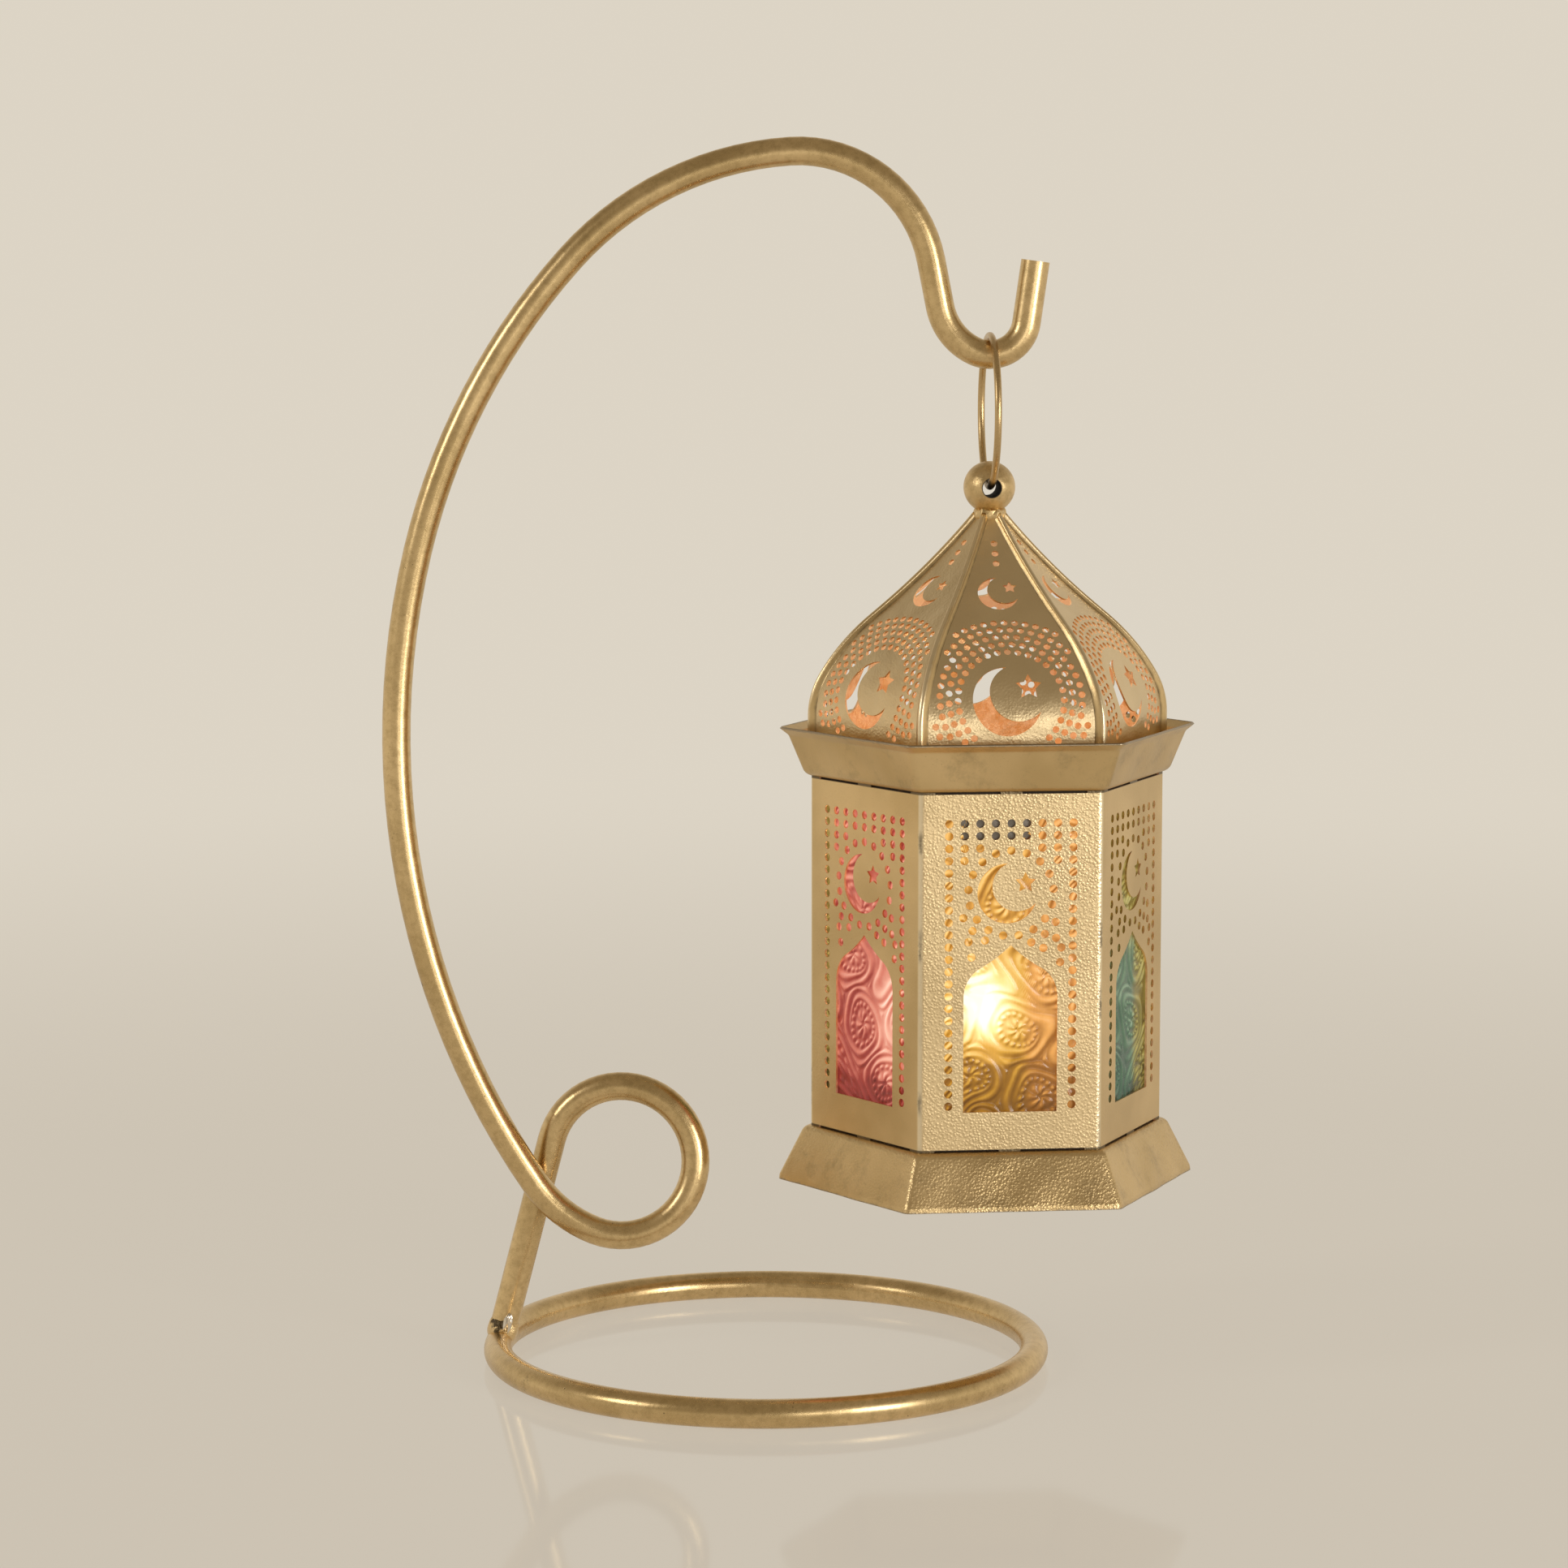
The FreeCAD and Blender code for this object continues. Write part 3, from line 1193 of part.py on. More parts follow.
seat_inner = s.cup_radius + s.seat_gap
seat_outer = seat_inner + s.seat_sheet
candle_seat = keep(
    turned_body(
        "candle_seat",
        [
            (seat_inner, 0),
            (seat_outer + s.seat_flange, 0),
            (seat_outer + s.seat_flange, s.seat_sheet),
            (seat_outer, s.seat_sheet),
            (seat_outer, s.seat_height),
            (seat_inner, s.seat_height),
        ],
    ),
    "candle_seat",
)
hang(candle_seat, floor_height)

cup_foot = level("cup_foot", floor_height + s.cup_rest)
cup_inner = s.cup_radius - s.cup_sheet
tealight_cup = keep(
    turned_body(
        "tealight_cup",
        [
            (0, 0),
            (s.cup_radius, 0),
            (s.cup_radius, s.cup_height),
            (cup_inner, s.cup_height),
            (cup_inner, s.cup_sheet),
            (0, s.cup_sheet),
        ],
    ),
    "tealight_cup",
)
hang(tealight_cup, cup_foot)

wax_foot = s.cup_sheet + s.wax_gap
wax_top = s.cup_sheet + s.wax_depth
recess_top = wax_foot + s.wick_base_sheet + s.wax_gap
recess_radius = s.wick_base_radius + s.wax_gap
wick_hole = s.wick_radius + s.wax_gap
tealight_wax = keep(
    turned_body(
        "tealight_wax",
        [
            (recess_radius, wax_foot),
            (cup_inner - s.wax_gap, wax_foot),
            (cup_inner - s.wax_gap, wax_top),
            (wick_hole, wax_top),
            (wick_hole, recess_top),
            (recess_radius, recess_top),
        ],
    ),
    "tealight_wax",
)
hang(tealight_wax, cup_foot)

wick_base = keep(doc.addObject("Part::Cylinder", "wick_base"), "wick_base")
tie(wick_base, Radius=s.wick_base_radius, Height=s.wick_base_sheet)
hang(wick_base, cup_foot + wax_foot)
wick_foot = wax_foot + s.wick_base_sheet
wick = keep(doc.addObject("Part::Cylinder", "wick"), "wick")
tie(wick, Radius=s.wick_radius, Height=wax_top + s.wick_rise - wick_foot)
hang(wick, cup_foot + wick_foot)

# Check every object, then write one file for each piece

doc.recompute()
failed = [thing.Name for thing in doc.Objects if {"Invalid", "Error"} & set(thing.State)]
failed += [thing.Label for thing in pieces if thing.Shape.isNull() or not thing.Shape.isValid()]
failed += [thing.Label for thing in pieces if not thing.Shape.Solids]
if failed:
    raise RuntimeError("failed objects: " + ", ".join(failed))
os.makedirs("parts", exist_ok=True)
for thing in pieces:
    thing.Shape.exportStep(f"parts/{thing.Label}.step")
print(len(pieces), "pieces written")
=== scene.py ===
# %% [markdown]
# # A pierced candle lantern on its hook stand
# The packed solids are the fixed frame: bar, ring, pierced sheets, pans, door and tealight, at their real
# size. This script gives them their finish and adds what solids are poor at: embossed film, a weld bead,
# solder, folded seams, molten wax and a flame. All is in metres, from the centre of the base ring.

# %% Load the frame
import json
import math

import bmesh
import bpy
import numpy as np
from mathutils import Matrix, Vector


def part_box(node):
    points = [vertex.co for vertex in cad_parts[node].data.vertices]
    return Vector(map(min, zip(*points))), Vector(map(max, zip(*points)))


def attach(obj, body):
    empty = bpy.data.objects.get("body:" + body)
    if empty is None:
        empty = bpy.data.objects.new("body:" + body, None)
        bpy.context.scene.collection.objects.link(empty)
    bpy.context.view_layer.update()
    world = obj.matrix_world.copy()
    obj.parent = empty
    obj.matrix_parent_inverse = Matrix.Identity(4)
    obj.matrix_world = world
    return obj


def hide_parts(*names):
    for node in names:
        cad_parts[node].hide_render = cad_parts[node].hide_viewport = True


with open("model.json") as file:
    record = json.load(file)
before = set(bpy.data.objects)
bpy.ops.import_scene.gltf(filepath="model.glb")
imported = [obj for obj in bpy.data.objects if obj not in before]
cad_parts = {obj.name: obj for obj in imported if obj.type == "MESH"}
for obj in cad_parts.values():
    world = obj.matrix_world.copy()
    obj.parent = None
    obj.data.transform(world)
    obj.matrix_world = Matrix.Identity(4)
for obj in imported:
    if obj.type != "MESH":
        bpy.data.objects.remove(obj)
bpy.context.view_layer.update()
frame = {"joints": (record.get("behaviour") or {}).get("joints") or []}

# %% [markdown]
# ## Where things are
# The lantern hangs turned by a few degrees about its own upright axis, so patterns on its six sides need that
# axis, its turn and the level of its floor. The axis and the levels are read from the frame's boxes, so that
# they follow the solids; measuring them once and typing them in would not.

# %% Lantern axis and levels
MM = 0.001
SIDES = 6
SECTOR = math.tau / SIDES
CORNER_SLOPE = math.tan(SECTOR / 2)
LANTERN_TURN = math.radians(6.1)
BODY_SIDE = 50.3 * MM
APOTHEM = BODY_SIDE / 2 / CORNER_SLOPE
cup_low, cup_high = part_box("tealight_cup")
AXIS = np.array([(cup_low.x + cup_high.x) / 2, (cup_low.y + cup_high.y) / 2, 0.0])
SHEET = 0.6 * MM
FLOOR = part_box("base_pan")[1].z
ROOF_FOOT, APEX = (end.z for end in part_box("roof_petal_1"))
PAN_TOP = ROOF_FOOT - SHEET
print("axis", AXIS, "floor", FLOOR, "roof", ROOF_FOOT, APEX)

# %% [markdown]
# ## Shader maths as expressions
# A finish is a network of nodes. Wiring it by hand is hard to read, so a small class stands for a socket and
# turns sums and products into Math nodes. Colours go through Mix, because a Math node turns a colour grey.

# %% A socket that can be calculated with
class Wire:
    """One output socket. An expression on wires adds the Math nodes that work it out."""

    def __init__(self, finish, socket):
        self.finish = finish
        self.socket = socket

    def math(self, operation, *others):
        """A Math node on this wire and on others or numbers."""
        return self.finish.node("ShaderNodeMath", {"operation": operation}, dict(enumerate((self, *others))))

    def __add__(self, other):
        return self.math("ADD", other)

    def __sub__(self, other):
        return self.math("SUBTRACT", other)

    def __rsub__(self, other):
        return self.finish.node("ShaderNodeMath", {"operation": "SUBTRACT"}, {0: other, 1: self})

    def __mul__(self, other):
        return self.math("MULTIPLY", other)

    def __truediv__(self, other):
        return self.math("DIVIDE", other)

    __radd__ = __add__
    __rmul__ = __mul__

    def step(self, low, high):
        """0 below low, 1 above high and a smooth rise between them."""
        ends = {"Value": self, "From Min": low, "From Max": high}
        return self.finish.node("ShaderNodeMapRange", {"interpolation_type": "SMOOTHSTEP"}, ends)


print("wires add, subtract, multiply, divide and step")

# %% A finish built from expressions
class Finish:
    """A node-based material, or the world, built from expressions."""

    def __init__(self, owner):
        owner.use_nodes = True
        self.owner = owner
        self.tree = owner.node_tree
        self.shader = self.tree.nodes.get("Principled BSDF")

    def node(self, kind, settings=None, sockets=None, output=0):
        """A node of a type, with its settings first and then its sockets' values or links."""
        new = self.tree.nodes.new(kind)
        for key, value in (settings or {}).items():
            if key == "stops":
                self.set_stops(new.color_ramp, value)
            else:
                setattr(new, key, value)
        for key, value in (sockets or {}).items():
            self.feed(new.inputs[key], value)
        return Wire(self, new.outputs[output])

    def set_stops(self, ramp, stops):
        """Places and colours of a ramp."""
        while len(ramp.elements) < len(stops):
            ramp.elements.new(1.0)
        for element, (place, colour) in zip(ramp.elements, stops):
            element.position = place
            element.color = (*colour, 1.0)

    def feed(self, socket, value):
        """A socket's link, where the value is a wire, or its own number or colour."""
        if isinstance(value, Wire):
            self.tree.links.new(value.socket, socket)
        elif socket.type == "RGBA":
            socket.default_value = (*value, 1.0)
        else:
            socket.default_value = value

    def surface(self, **values):
        """Feeds the Principled shader, with Base_Color for its Base Color, and gives back the material."""
        for key, value in values.items():
            self.feed(self.shader.inputs[key.replace("_", " ")], value)
        return self.owner

    def metal(self, colour, roughness, normal, metallic=1.0):
        """Feeds what every metal here needs."""
        return self.surface(Base_Color=colour, Metallic=metallic, Roughness=roughness, Normal=normal)

    def place(self, output="Object"):
        """Where a point lies on its piece, or another vector of that point."""
        return self.node("ShaderNodeTexCoord", output=output)

    def parts(self, output="Object"):
        """The three numbers of a point's place on its piece, or of its normal there."""
        split = self.node("ShaderNodeSeparateXYZ", None, {0: self.place(output)})
        return [Wire(self, socket) for socket in split.socket.node.outputs]

    def attribute(self, name):
        """A number stored on the mesh's points."""
        return self.node("ShaderNodeAttribute", {"attribute_name": name}, output="Fac")

    def noise(self, scale, detail=2.0, roughness=0.5):
        """Cloudy noise from 0 to 1; scale counts its blobs per metre."""
        sockets = {"Vector": self.place(), "Scale": scale, "Detail": detail, "Roughness": roughness}
        return self.node("ShaderNodeTexNoise", None, sockets)

    def cells(self, scale):
        """Distance to the nearest of scattered points; scale counts them per metre."""
        return self.node("ShaderNodeTexVoronoi", None, {"Vector": self.place(), "Scale": scale})

    def mix(self, factor, first, second):
        """A colour between two colours."""
        return self.node("ShaderNodeMix", {"data_type": "RGBA"}, {0: factor, 6: first, 7: second}, 2)

    def ramp(self, factor, stops):
        """A colour read off a row of stops."""
        return self.node("ShaderNodeValToRGB", {"stops": stops}, {"Fac": factor})

    def bump(self, height, distance, strength=1.0):
        """A normal tilted by a height map; distance is the height of its full range, in metres."""
        sockets = {"Height": height, "Distance": distance, "Strength": strength}
        return self.node("ShaderNodeBump", None, sockets)


print("a finish can", [name for name in vars(Finish) if not name.startswith("_")])

# %% Helpers for finishes
def distance(*offsets):
    """How far a point is, from its offsets along the axes: the root of the sum of their squares."""
    return sum(offset * offset for offset in offsets).math("SQRT")


def material(name):
    """A new, empty finish."""
    return Finish(bpy.data.materials.new(name))


def coat(names, paint):
    """Puts one material on CAD nodes."""
    for name in names:
        mesh = bpy.data.objects[name].data
        mesh.materials.clear()
        mesh.materials.append(paint)


print("shader helpers ready")

# %% [markdown]
# ## Gold paint
# Sheet and bar are steel, sprayed with one coat of satin gold. The paint is a metal-flake lacquer: it mirrors
# softly, it has an orange-peel skin that is coarse where the coat is thick, and it wears grey-brown along
# sharp edges. Painting maps by hand would be another way, but noise in object space needs no unwrapping.

# %% Gold tones
PAINT_LIGHT = (0.80, 0.59, 0.305)
PAINT_DARK = (0.64, 0.46, 0.22)
# Soot, and also the colour of painted shade in creases and gaps.
PAINT_SOOT_AND_SHADE = (0.12, 0.09, 0.055)
PAINT_WORN = (0.34, 0.29, 0.23)
PAINT_TARNISH = (0.40, 0.28, 0.12)
# Painted highlights, and the paler copies of the paint that stand for light.
PAINT_HIGHLIGHT = (0.97, 0.84, 0.60)


def paint_colours(finish, specks):
    """Gold that drifts between two tones, with dark specks where fine noise is low."""
    cloud = finish.noise(35.0, 3.0)
    tone = finish.mix(cloud.step(0.3, 0.7), PAINT_DARK, PAINT_LIGHT)
    grain = finish.noise(2600.0, 2.0, 0.7)
    speck = (1 - grain.step(0.24, 0.34)) * specks
    return finish.mix(speck, tone, PAINT_SOOT_AND_SHADE), cloud, grain


def bar_paint():
    """The stand's coat: nearly smooth, with blisters, dark pits and a few scuffs."""
    finish = material("bar_paint")
    colour, cloud, grain = paint_colours(finish, 0.5)
    skin = finish.noise(700.0, 3.0, 0.6)
    blister = 1 - finish.cells(150.0).step(0.05, 0.14)
    lifted = blister * finish.noise(55.0, 1.0).step(0.55, 0.65)
    pit = (1 - finish.cells(330.0).step(0.05, 0.1)) * finish.noise(90.0, 1.0).step(0.55, 0.65)
    scuff = finish.noise(130.0, 6.0, 0.8).step(0.63, 0.72) * 0.5
    tarnish = finish.noise(360.0, 6.0, 0.8).step(0.40, 0.66) * 0.45
    height = skin * 0.35 + lifted * 0.5 + (1 - pit) * 0.3
    dulled = finish.mix(tarnish, colour, PAINT_TARNISH)
    pitted = finish.mix(pit * 0.7 + scuff, dulled, PAINT_SOOT_AND_SHADE)
    return finish.metal(pitted, 0.2 + cloud * 0.08 + grain * 0.08, finish.bump(height, 0.2 * MM, 0.4))


coat(["base_ring", "hook_stem"], bar_paint())
print("bar painted")

# %% [markdown]
# ## Paint on the sheets
# The sheets took the same paint, but dust and runs differ from piece to piece: the front wall is pebbly, the
# dome is smoother and dented, and soot from the torch sits in the folds. The front wall and the dome also take
# a paler copy of the paint, which is painted light; the walls' folds get a painted highlight, and a dark line
# of painted shade runs where the walls meet the pans. Inside, the bare metal glows copper in the candle's
# light. A lamp in the dome would light it too, with much noise, so the faces that look at the axis give off a
# little copper light of their own.

# %% Folds and edges of the walls
def corner_gap(finish):
    """Distance of a point from the nearest upright corner of the hexagon, along its side.

    The angle round the axis is folded into one sector; its tangent times the apothem is the place across.
    """
    x, y, _ = finish.parts()
    first_corner = math.pi / 2 - LANTERN_TURN + SECTOR / 2 + math.tau
    turn = (y - AXIS[1]).math("ARCTAN2", x - AXIS[0]) + first_corner
    folded = turn.math("MODULO", SECTOR) - SECTOR / 2
    across = folded.math("TANGENT") * APOTHEM
    return BODY_SIDE / 2 - across.math("ABSOLUTE")


def edge_gap(finish):
    """Distance of a point on a wall from the nearer of the two pans."""
    z = finish.parts()[2]
    return (z - FLOOR).math("MINIMUM", PAN_TOP - z)


print("walls", round(BODY_SIDE / MM, 1), "mm wide and", round((PAN_TOP - FLOOR) / MM, 1), "mm high")

# %% Glow, grain and soot
COPPER_DARK, COPPER_LIGHT, COPPER_TIP = (0.56, 0.19, 0.07), (1.0, 0.56, 0.32), (1.0, 0.68, 0.40)
BLACK = (0.0, 0.0, 0.0)
GRAIN_HEIGHT, DENT_HEIGHT = 0.5 * MM, 1.0 * MM


def candle_glow(finish, strength):
    """Copper light on faces that look at the lantern's axis, mottled, and paler towards the tip."""
    x, y, z = finish.parts()
    nx, ny, _ = finish.parts("Normal")
    facing = (x - AXIS[0]) * nx + (y - AXIS[1]) * ny
    inside = 1 - (facing / APOTHEM).step(-0.3, 0.1)
    rise = (z - ROOF_FOOT) / (APEX - ROOF_FOOT)
    mottle = finish.noise(240.0, 4.0, 0.7).step(0.38, 0.62)
    copper = finish.mix(mottle, COPPER_DARK, COPPER_LIGHT)
    warmth = finish.mix(rise.step(0.2, 0.9), copper, COPPER_TIP)
    finish.surface(Emission_Color=finish.mix(inside, BLACK, warmth), Emission_Strength=strength)


def pebbles(finish):
    """Height of orange-peel paint: round grains under a millimetre apart, broken up by noise, in patches."""
    grains = (1 - finish.cells(1300.0).step(0.05, 0.75)) * 0.5 + finish.noise(1300.0, 3.0, 0.7) * 0.5
    return grains * (finish.noise(28.0, 2.0).step(0.38, 0.62) * 0.4 + 0.6)


def fold_soot_and_painted_light(finish, colour, soot):
    """A colour with painted highlights on folds, ragged soot beside them and painted shade at each pan."""
    corner = corner_gap(finish)
    # Painted highlight along each upright fold.
    fold_highlight = (1 - corner.step(0.3 * MM, 1.2 * MM)) * 0.7
    ragged = (finish.noise(420.0, 5.0, 0.75) - 0.5) * (4.0 * MM)
    patchy = finish.noise(70.0, 2.0).step(0.52, 0.66)
    fold = (1 - (corner + ragged).step(-0.2 * MM, 1.1 * MM)) * patchy
    # Painted shade: a dark line on the wall where it meets each pan.
    edge = 1 - edge_gap(finish).step(0.45 * MM, 0.75 * MM)
    colour = finish.mix(fold_highlight, colour, PAINT_HIGHLIGHT)
    return finish.mix((fold * soot).math("MAXIMUM", edge * 0.9), colour, PAINT_SOOT_AND_SHADE)


print("grains", GRAIN_HEIGHT, "and dents", DENT_HEIGHT, "m high at full strength")

# %% Sheet paint
def sheet_paint(name, pebble, roughness, dent=0.0, glow=0.0, soot=0.0, pale=0.0):
    """The lantern's coat.

    pebble is how strong its grains are and dent its slow waves, pale lightens it all over as painted light,
    soot darkens its folds and also brings their painted highlight and the painted shade at the pans, and glow
    lights its inside.
    """
    finish = material(name)
    colour, cloud, grain = paint_colours(finish, 0.4)
    # pale gives a lighter copy of the same paint: painted light.
    if pale:
        colour = finish.mix(pale, colour, PAINT_HIGHLIGHT)
    if soot:
        colour = fold_soot_and_painted_light(finish, colour, soot)
    if dent:
        waves = finish.noise(75.0, 2.0) * dent
        skin = finish.bump(pebbles(finish) * (0.3 * pebble) + waves, DENT_HEIGHT)
    else:
        skin = finish.bump(pebbles(finish), GRAIN_HEIGHT, pebble)
    if glow:
        candle_glow(finish, glow)
    return finish.metal(colour, roughness + cloud * 0.1 + grain * 0.1, skin)


petals = [f"roof_petal_{side + 1}" for side in range(SIDES)]
plain_walls = [f"wall_panel_{side + 1}" for side in range(1, SIDES - 1)] + ["door_panel"]
fittings = ["door_knob", "frame_hinge", "door_hinge"]
# The dome and the front wall take paler copies of the paint: painted light.
coat(petals, sheet_paint("petal_paint", 0.2, 0.22, dent=0.7, glow=0.32, pale=0.3))
coat(["wall_panel_1"], sheet_paint("front_wall_paint", 0.3, 0.24, glow=0.22, soot=0.75, pale=0.22))
coat(plain_walls, sheet_paint("wall_paint", 0.09, 0.25, glow=0.22, soot=0.75))
coat(fittings, sheet_paint("fitting_paint", 0.15, 0.22))
print("painted", len(petals) + len(plain_walls) + 1, "pierced sheets")

# %% [markdown]
# ## Paint on the ball
# The ring's wire runs through a cross hole in the ball, and the hole lies in deep shade, black against the
# bright paint. A dark tube pushed into the hole would do, but painting that shade on the hole's wall, told
# from the outside by its distance from the hole's axis, needs no piece at all.

# %% Ball paint
BALL_RADIUS, HOLE_RADIUS = 7.25 * MM, 2.6 * MM
BORE_SHADE = (0.012, 0.009, 0.006)
ball_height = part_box("finial_ball")[1].z - BALL_RADIUS
hole_way = next(joint["axis"] for joint in frame["joints"] if joint["name"] == "lantern_swing")


def ball_paint():
    """The ball's coat, with painted shade, black, inside the cross hole that the ring's wire runs through.

    How far a point is from the hole's axis tells the hole's wall from the ball's outside.
    """
    finish = material("ball_paint")
    colour, cloud, grain = paint_colours(finish, 0.5)
    x, y, z = finish.parts()
    beside = (y - AXIS[1]) * hole_way[0] - (x - AXIS[0]) * hole_way[1]
    above = z - ball_height
    # Painted shade: black on the cross hole's wall.
    bore_shade = 1 - distance(beside, above).step(HOLE_RADIUS + 0.03 * MM, HOLE_RADIUS + 0.4 * MM)
    dull = finish.noise(300.0, 5.0, 0.75).step(0.4, 0.66) * 0.5
    painted = finish.mix(bore_shade, finish.mix(dull, colour, PAINT_TARNISH), BORE_SHADE)
    roughness = 0.26 + cloud * 0.1 + grain * 0.1 + bore_shade * 0.5
    skin = finish.bump(finish.noise(900.0, 3.0, 0.6), 0.4 * MM, 0.3)
    return finish.metal(painted, roughness, skin, 1 - bore_shade)


ball_coat = ball_paint()
coat(["finial_ball"], ball_coat)
print("ball's middle at", round(ball_height, 4))

# %% [markdown]
# ## Bare metals
# Ring, clips, pins, nut and cup are unpainted wire, steel and foil. They differ only in colour, polish and
# the size of their grain, so one function makes them all. A flat grey would do for what hides inside, but the
# door opens.

# %% Plain metals
def plain_metal(name, colour, roughness, grain_scale):
    """Bare metal with fine uneven grain, darker where the grain is low."""
    finish = material(name)
    grain = finish.noise(grain_scale, 3.0, 0.6)
    shaded = finish.mix(grain, tuple(0.7 * part for part in colour), colour)
    return finish.metal(shaded, roughness + grain * 0.15, finish.bump(grain, 0.05 * MM, 0.4))


clips = ["pane_clips", "door_clips", "hinge_pins"]
seats = ["crown_washer", "crown_nut", "candle_seat", "wick_base"]
coat(["hanging_ring"], plain_metal("ring_wire", (0.70, 0.50, 0.25), 0.22, 1500.0))
coat(clips + seats, plain_metal("bright_steel", (0.62, 0.60, 0.57), 0.3, 1200.0))
print("bare metals done")

# %% [markdown]
# ## Surfaces from grids
# Every added piece is one sheet of points, rows by columns, worked out as whole arrays from two parameters.
# Joining the last column to the first makes a tube, and rows that shrink to a point close its ends. Shaping
# them by hand would do for one lantern, but a formula can be read, checked and changed.

# %% A piece from a grid of points
def build_piece(name, points, body, finish, attributes=None, replaces=()):
    """A closed tube of quads through points[row, column], the last column joined to the first.

    Points that coincide, as at a closed end, are merged, and the faces are turned outwards.
    """
    rows, columns = points.shape[:2]
    index = np.arange(rows * columns).reshape(rows, columns)
    index = np.hstack([index, index[:, :1]])
    quads = np.stack([index[:-1, :-1], index[:-1, 1:], index[1:, 1:], index[1:, :-1]], axis=-1)
    mesh = bpy.data.meshes.new(name)
    mesh.from_pydata(points.reshape(-1, 3).tolist(), [], quads.reshape(-1, 4).tolist())
    for key, values in (attributes or {}).items():
        layer = mesh.attributes.new(key, "FLOAT", "POINT")
        layer.data.foreach_set("value", np.ascontiguousarray(values, dtype=np.float32).ravel())
    shell = bmesh.new()
    shell.from_mesh(mesh)
    bmesh.ops.remove_doubles(shell, verts=shell.verts, dist=1e-6)
    bmesh.ops.recalc_face_normals(shell, faces=shell.faces)
    shell.to_mesh(mesh)
    shell.free()
    mesh.shade_smooth()
    mesh.materials.append(finish)
    piece = bpy.data.objects.new(name, mesh)
    bpy.context.scene.collection.objects.link(piece)
    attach(piece, body)
    if replaces:
        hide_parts(*replaces)
    return piece


def close_ends(points):
    """Adds a first and a last row that shrink to the middle of the row beside them."""
    ends = [np.broadcast_to(row.mean(axis=0), row.shape)[None] for row in (points[0], points[-1])]
    return np.concatenate([ends[0], points, ends[1]])


def rise_smooth(value, low, high):
    """0 below low, 1 above high, with the cubic 3t2 - 2t3 between."""
    share = np.clip((value - low) / (high - low), 0.0, 1.0)
    return share * share * (3 - 2 * share)


def full_turn(count):
    """Angles once round, in equal steps, along a grid's columns."""
    return np.arange(count)[None] * (math.tau / count)


def grid_points(x, y, z):
    """Points from their three coordinates, each over one or both of a grid's parameters."""
    return np.stack(np.broadcast_arrays(x, y, z), -1)


def on_side(side, u, out, height):
    """Points from their place u across a lantern side, their distance out from the axis and their height.

    Across and outward are unit vectors, turned by a sector from side to side; half a side more is a corner.
    """
    turn = LANTERN_TURN + side * SECTOR
    across = np.array([math.cos(turn), math.sin(turn), 0.0])
    outward = np.array([math.sin(turn), -math.cos(turn), 0.0])
    points = AXIS + u[..., None] * across + out[..., None] * outward
    points[..., 2] += height
    return points


print("grid helpers ready")

# %% [markdown]
# ## Folded seams of the dome
# Each petal's edge is folded up against its neighbour's and rolled over, so six round ridges run from the
# cornice to the tip. The solids have a plain standing seam there. A bevelled curve would be a plain rod; a
# bell-shaped section carried up the same corner line has soft flanks and a round crest, with painted shade
# along the flanks' feet and a painted highlight on the crest.

# %% Outline of a petal
ROOF_APOTHEM = APOTHEM - 0.3 * MM
ROOF_WALL = 16.3 * MM
ROOF_LOW_BEND, ROOF_LOW_TURN = 25.0 * MM, math.radians(27.0)
ROOF_HIGH_BEND, ROOF_HIGH_TURN = 60.0 * MM, math.radians(19.0)
THROAT_BEND, THROAT_TURN = 200.0 * MM, math.radians(10.0)


def petal_legs():
    """Straights and bends of the petal's outside; the straight slope takes what height is left."""
    middle = ROOF_LOW_TURN + ROOF_HIGH_TURN
    bends = ROOF_LOW_BEND * math.sin(ROOF_LOW_TURN)
    bends += ROOF_HIGH_BEND * (math.sin(middle) - math.sin(ROOF_LOW_TURN))
    bends += THROAT_BEND * (math.sin(middle) - math.sin(middle - THROAT_TURN))
    slope = (APEX - ROOF_FOOT - ROOF_WALL - bends) / math.cos(middle)
    return [
        (ROOF_WALL, 0.0),
        (ROOF_LOW_BEND, ROOF_LOW_TURN),
        (ROOF_HIGH_BEND, ROOF_HIGH_TURN),
        (slope, 0.0),
        (THROAT_BEND, -THROAT_TURN),
    ]


def follow(legs, start, way, per_leg):
    """Plane points, as complex numbers, along straights (length, 0) and bends (radius, turn)."""
    share = np.linspace(0.0, 1.0, per_leg + 1)[1:]
    spots = [np.array([start])]
    for reach, turn in legs:
        heading = np.exp(1j * way)
        if turn:
            run = 1j * reach * math.copysign(1, turn) * (heading - heading * np.exp(1j * turn * share))
        else:
            run = reach * heading * share
        spots.append(start + run)
        start, way = spots[-1][-1], way + turn
    return np.concatenate(spots)


petal_line = follow(petal_legs(), complex(ROOF_APOTHEM, ROOF_FOOT), math.pi / 2, 28)
print("petal's tip", np.round([petal_line[-1].real, petal_line[-1].imag], 4))

# %% Seam ridges
SEAM_HALF, SEAM_CREST, SEAM_TAPER = 2.2 * MM, 1.0 * MM, 0.4
SEAM_RISE, SEAM_BITE, SEAM_SINK = 1.2 * MM, 0.08 * MM, 0.3 * MM
SEAM_TOP, SEAM_UNDER = 33, 7


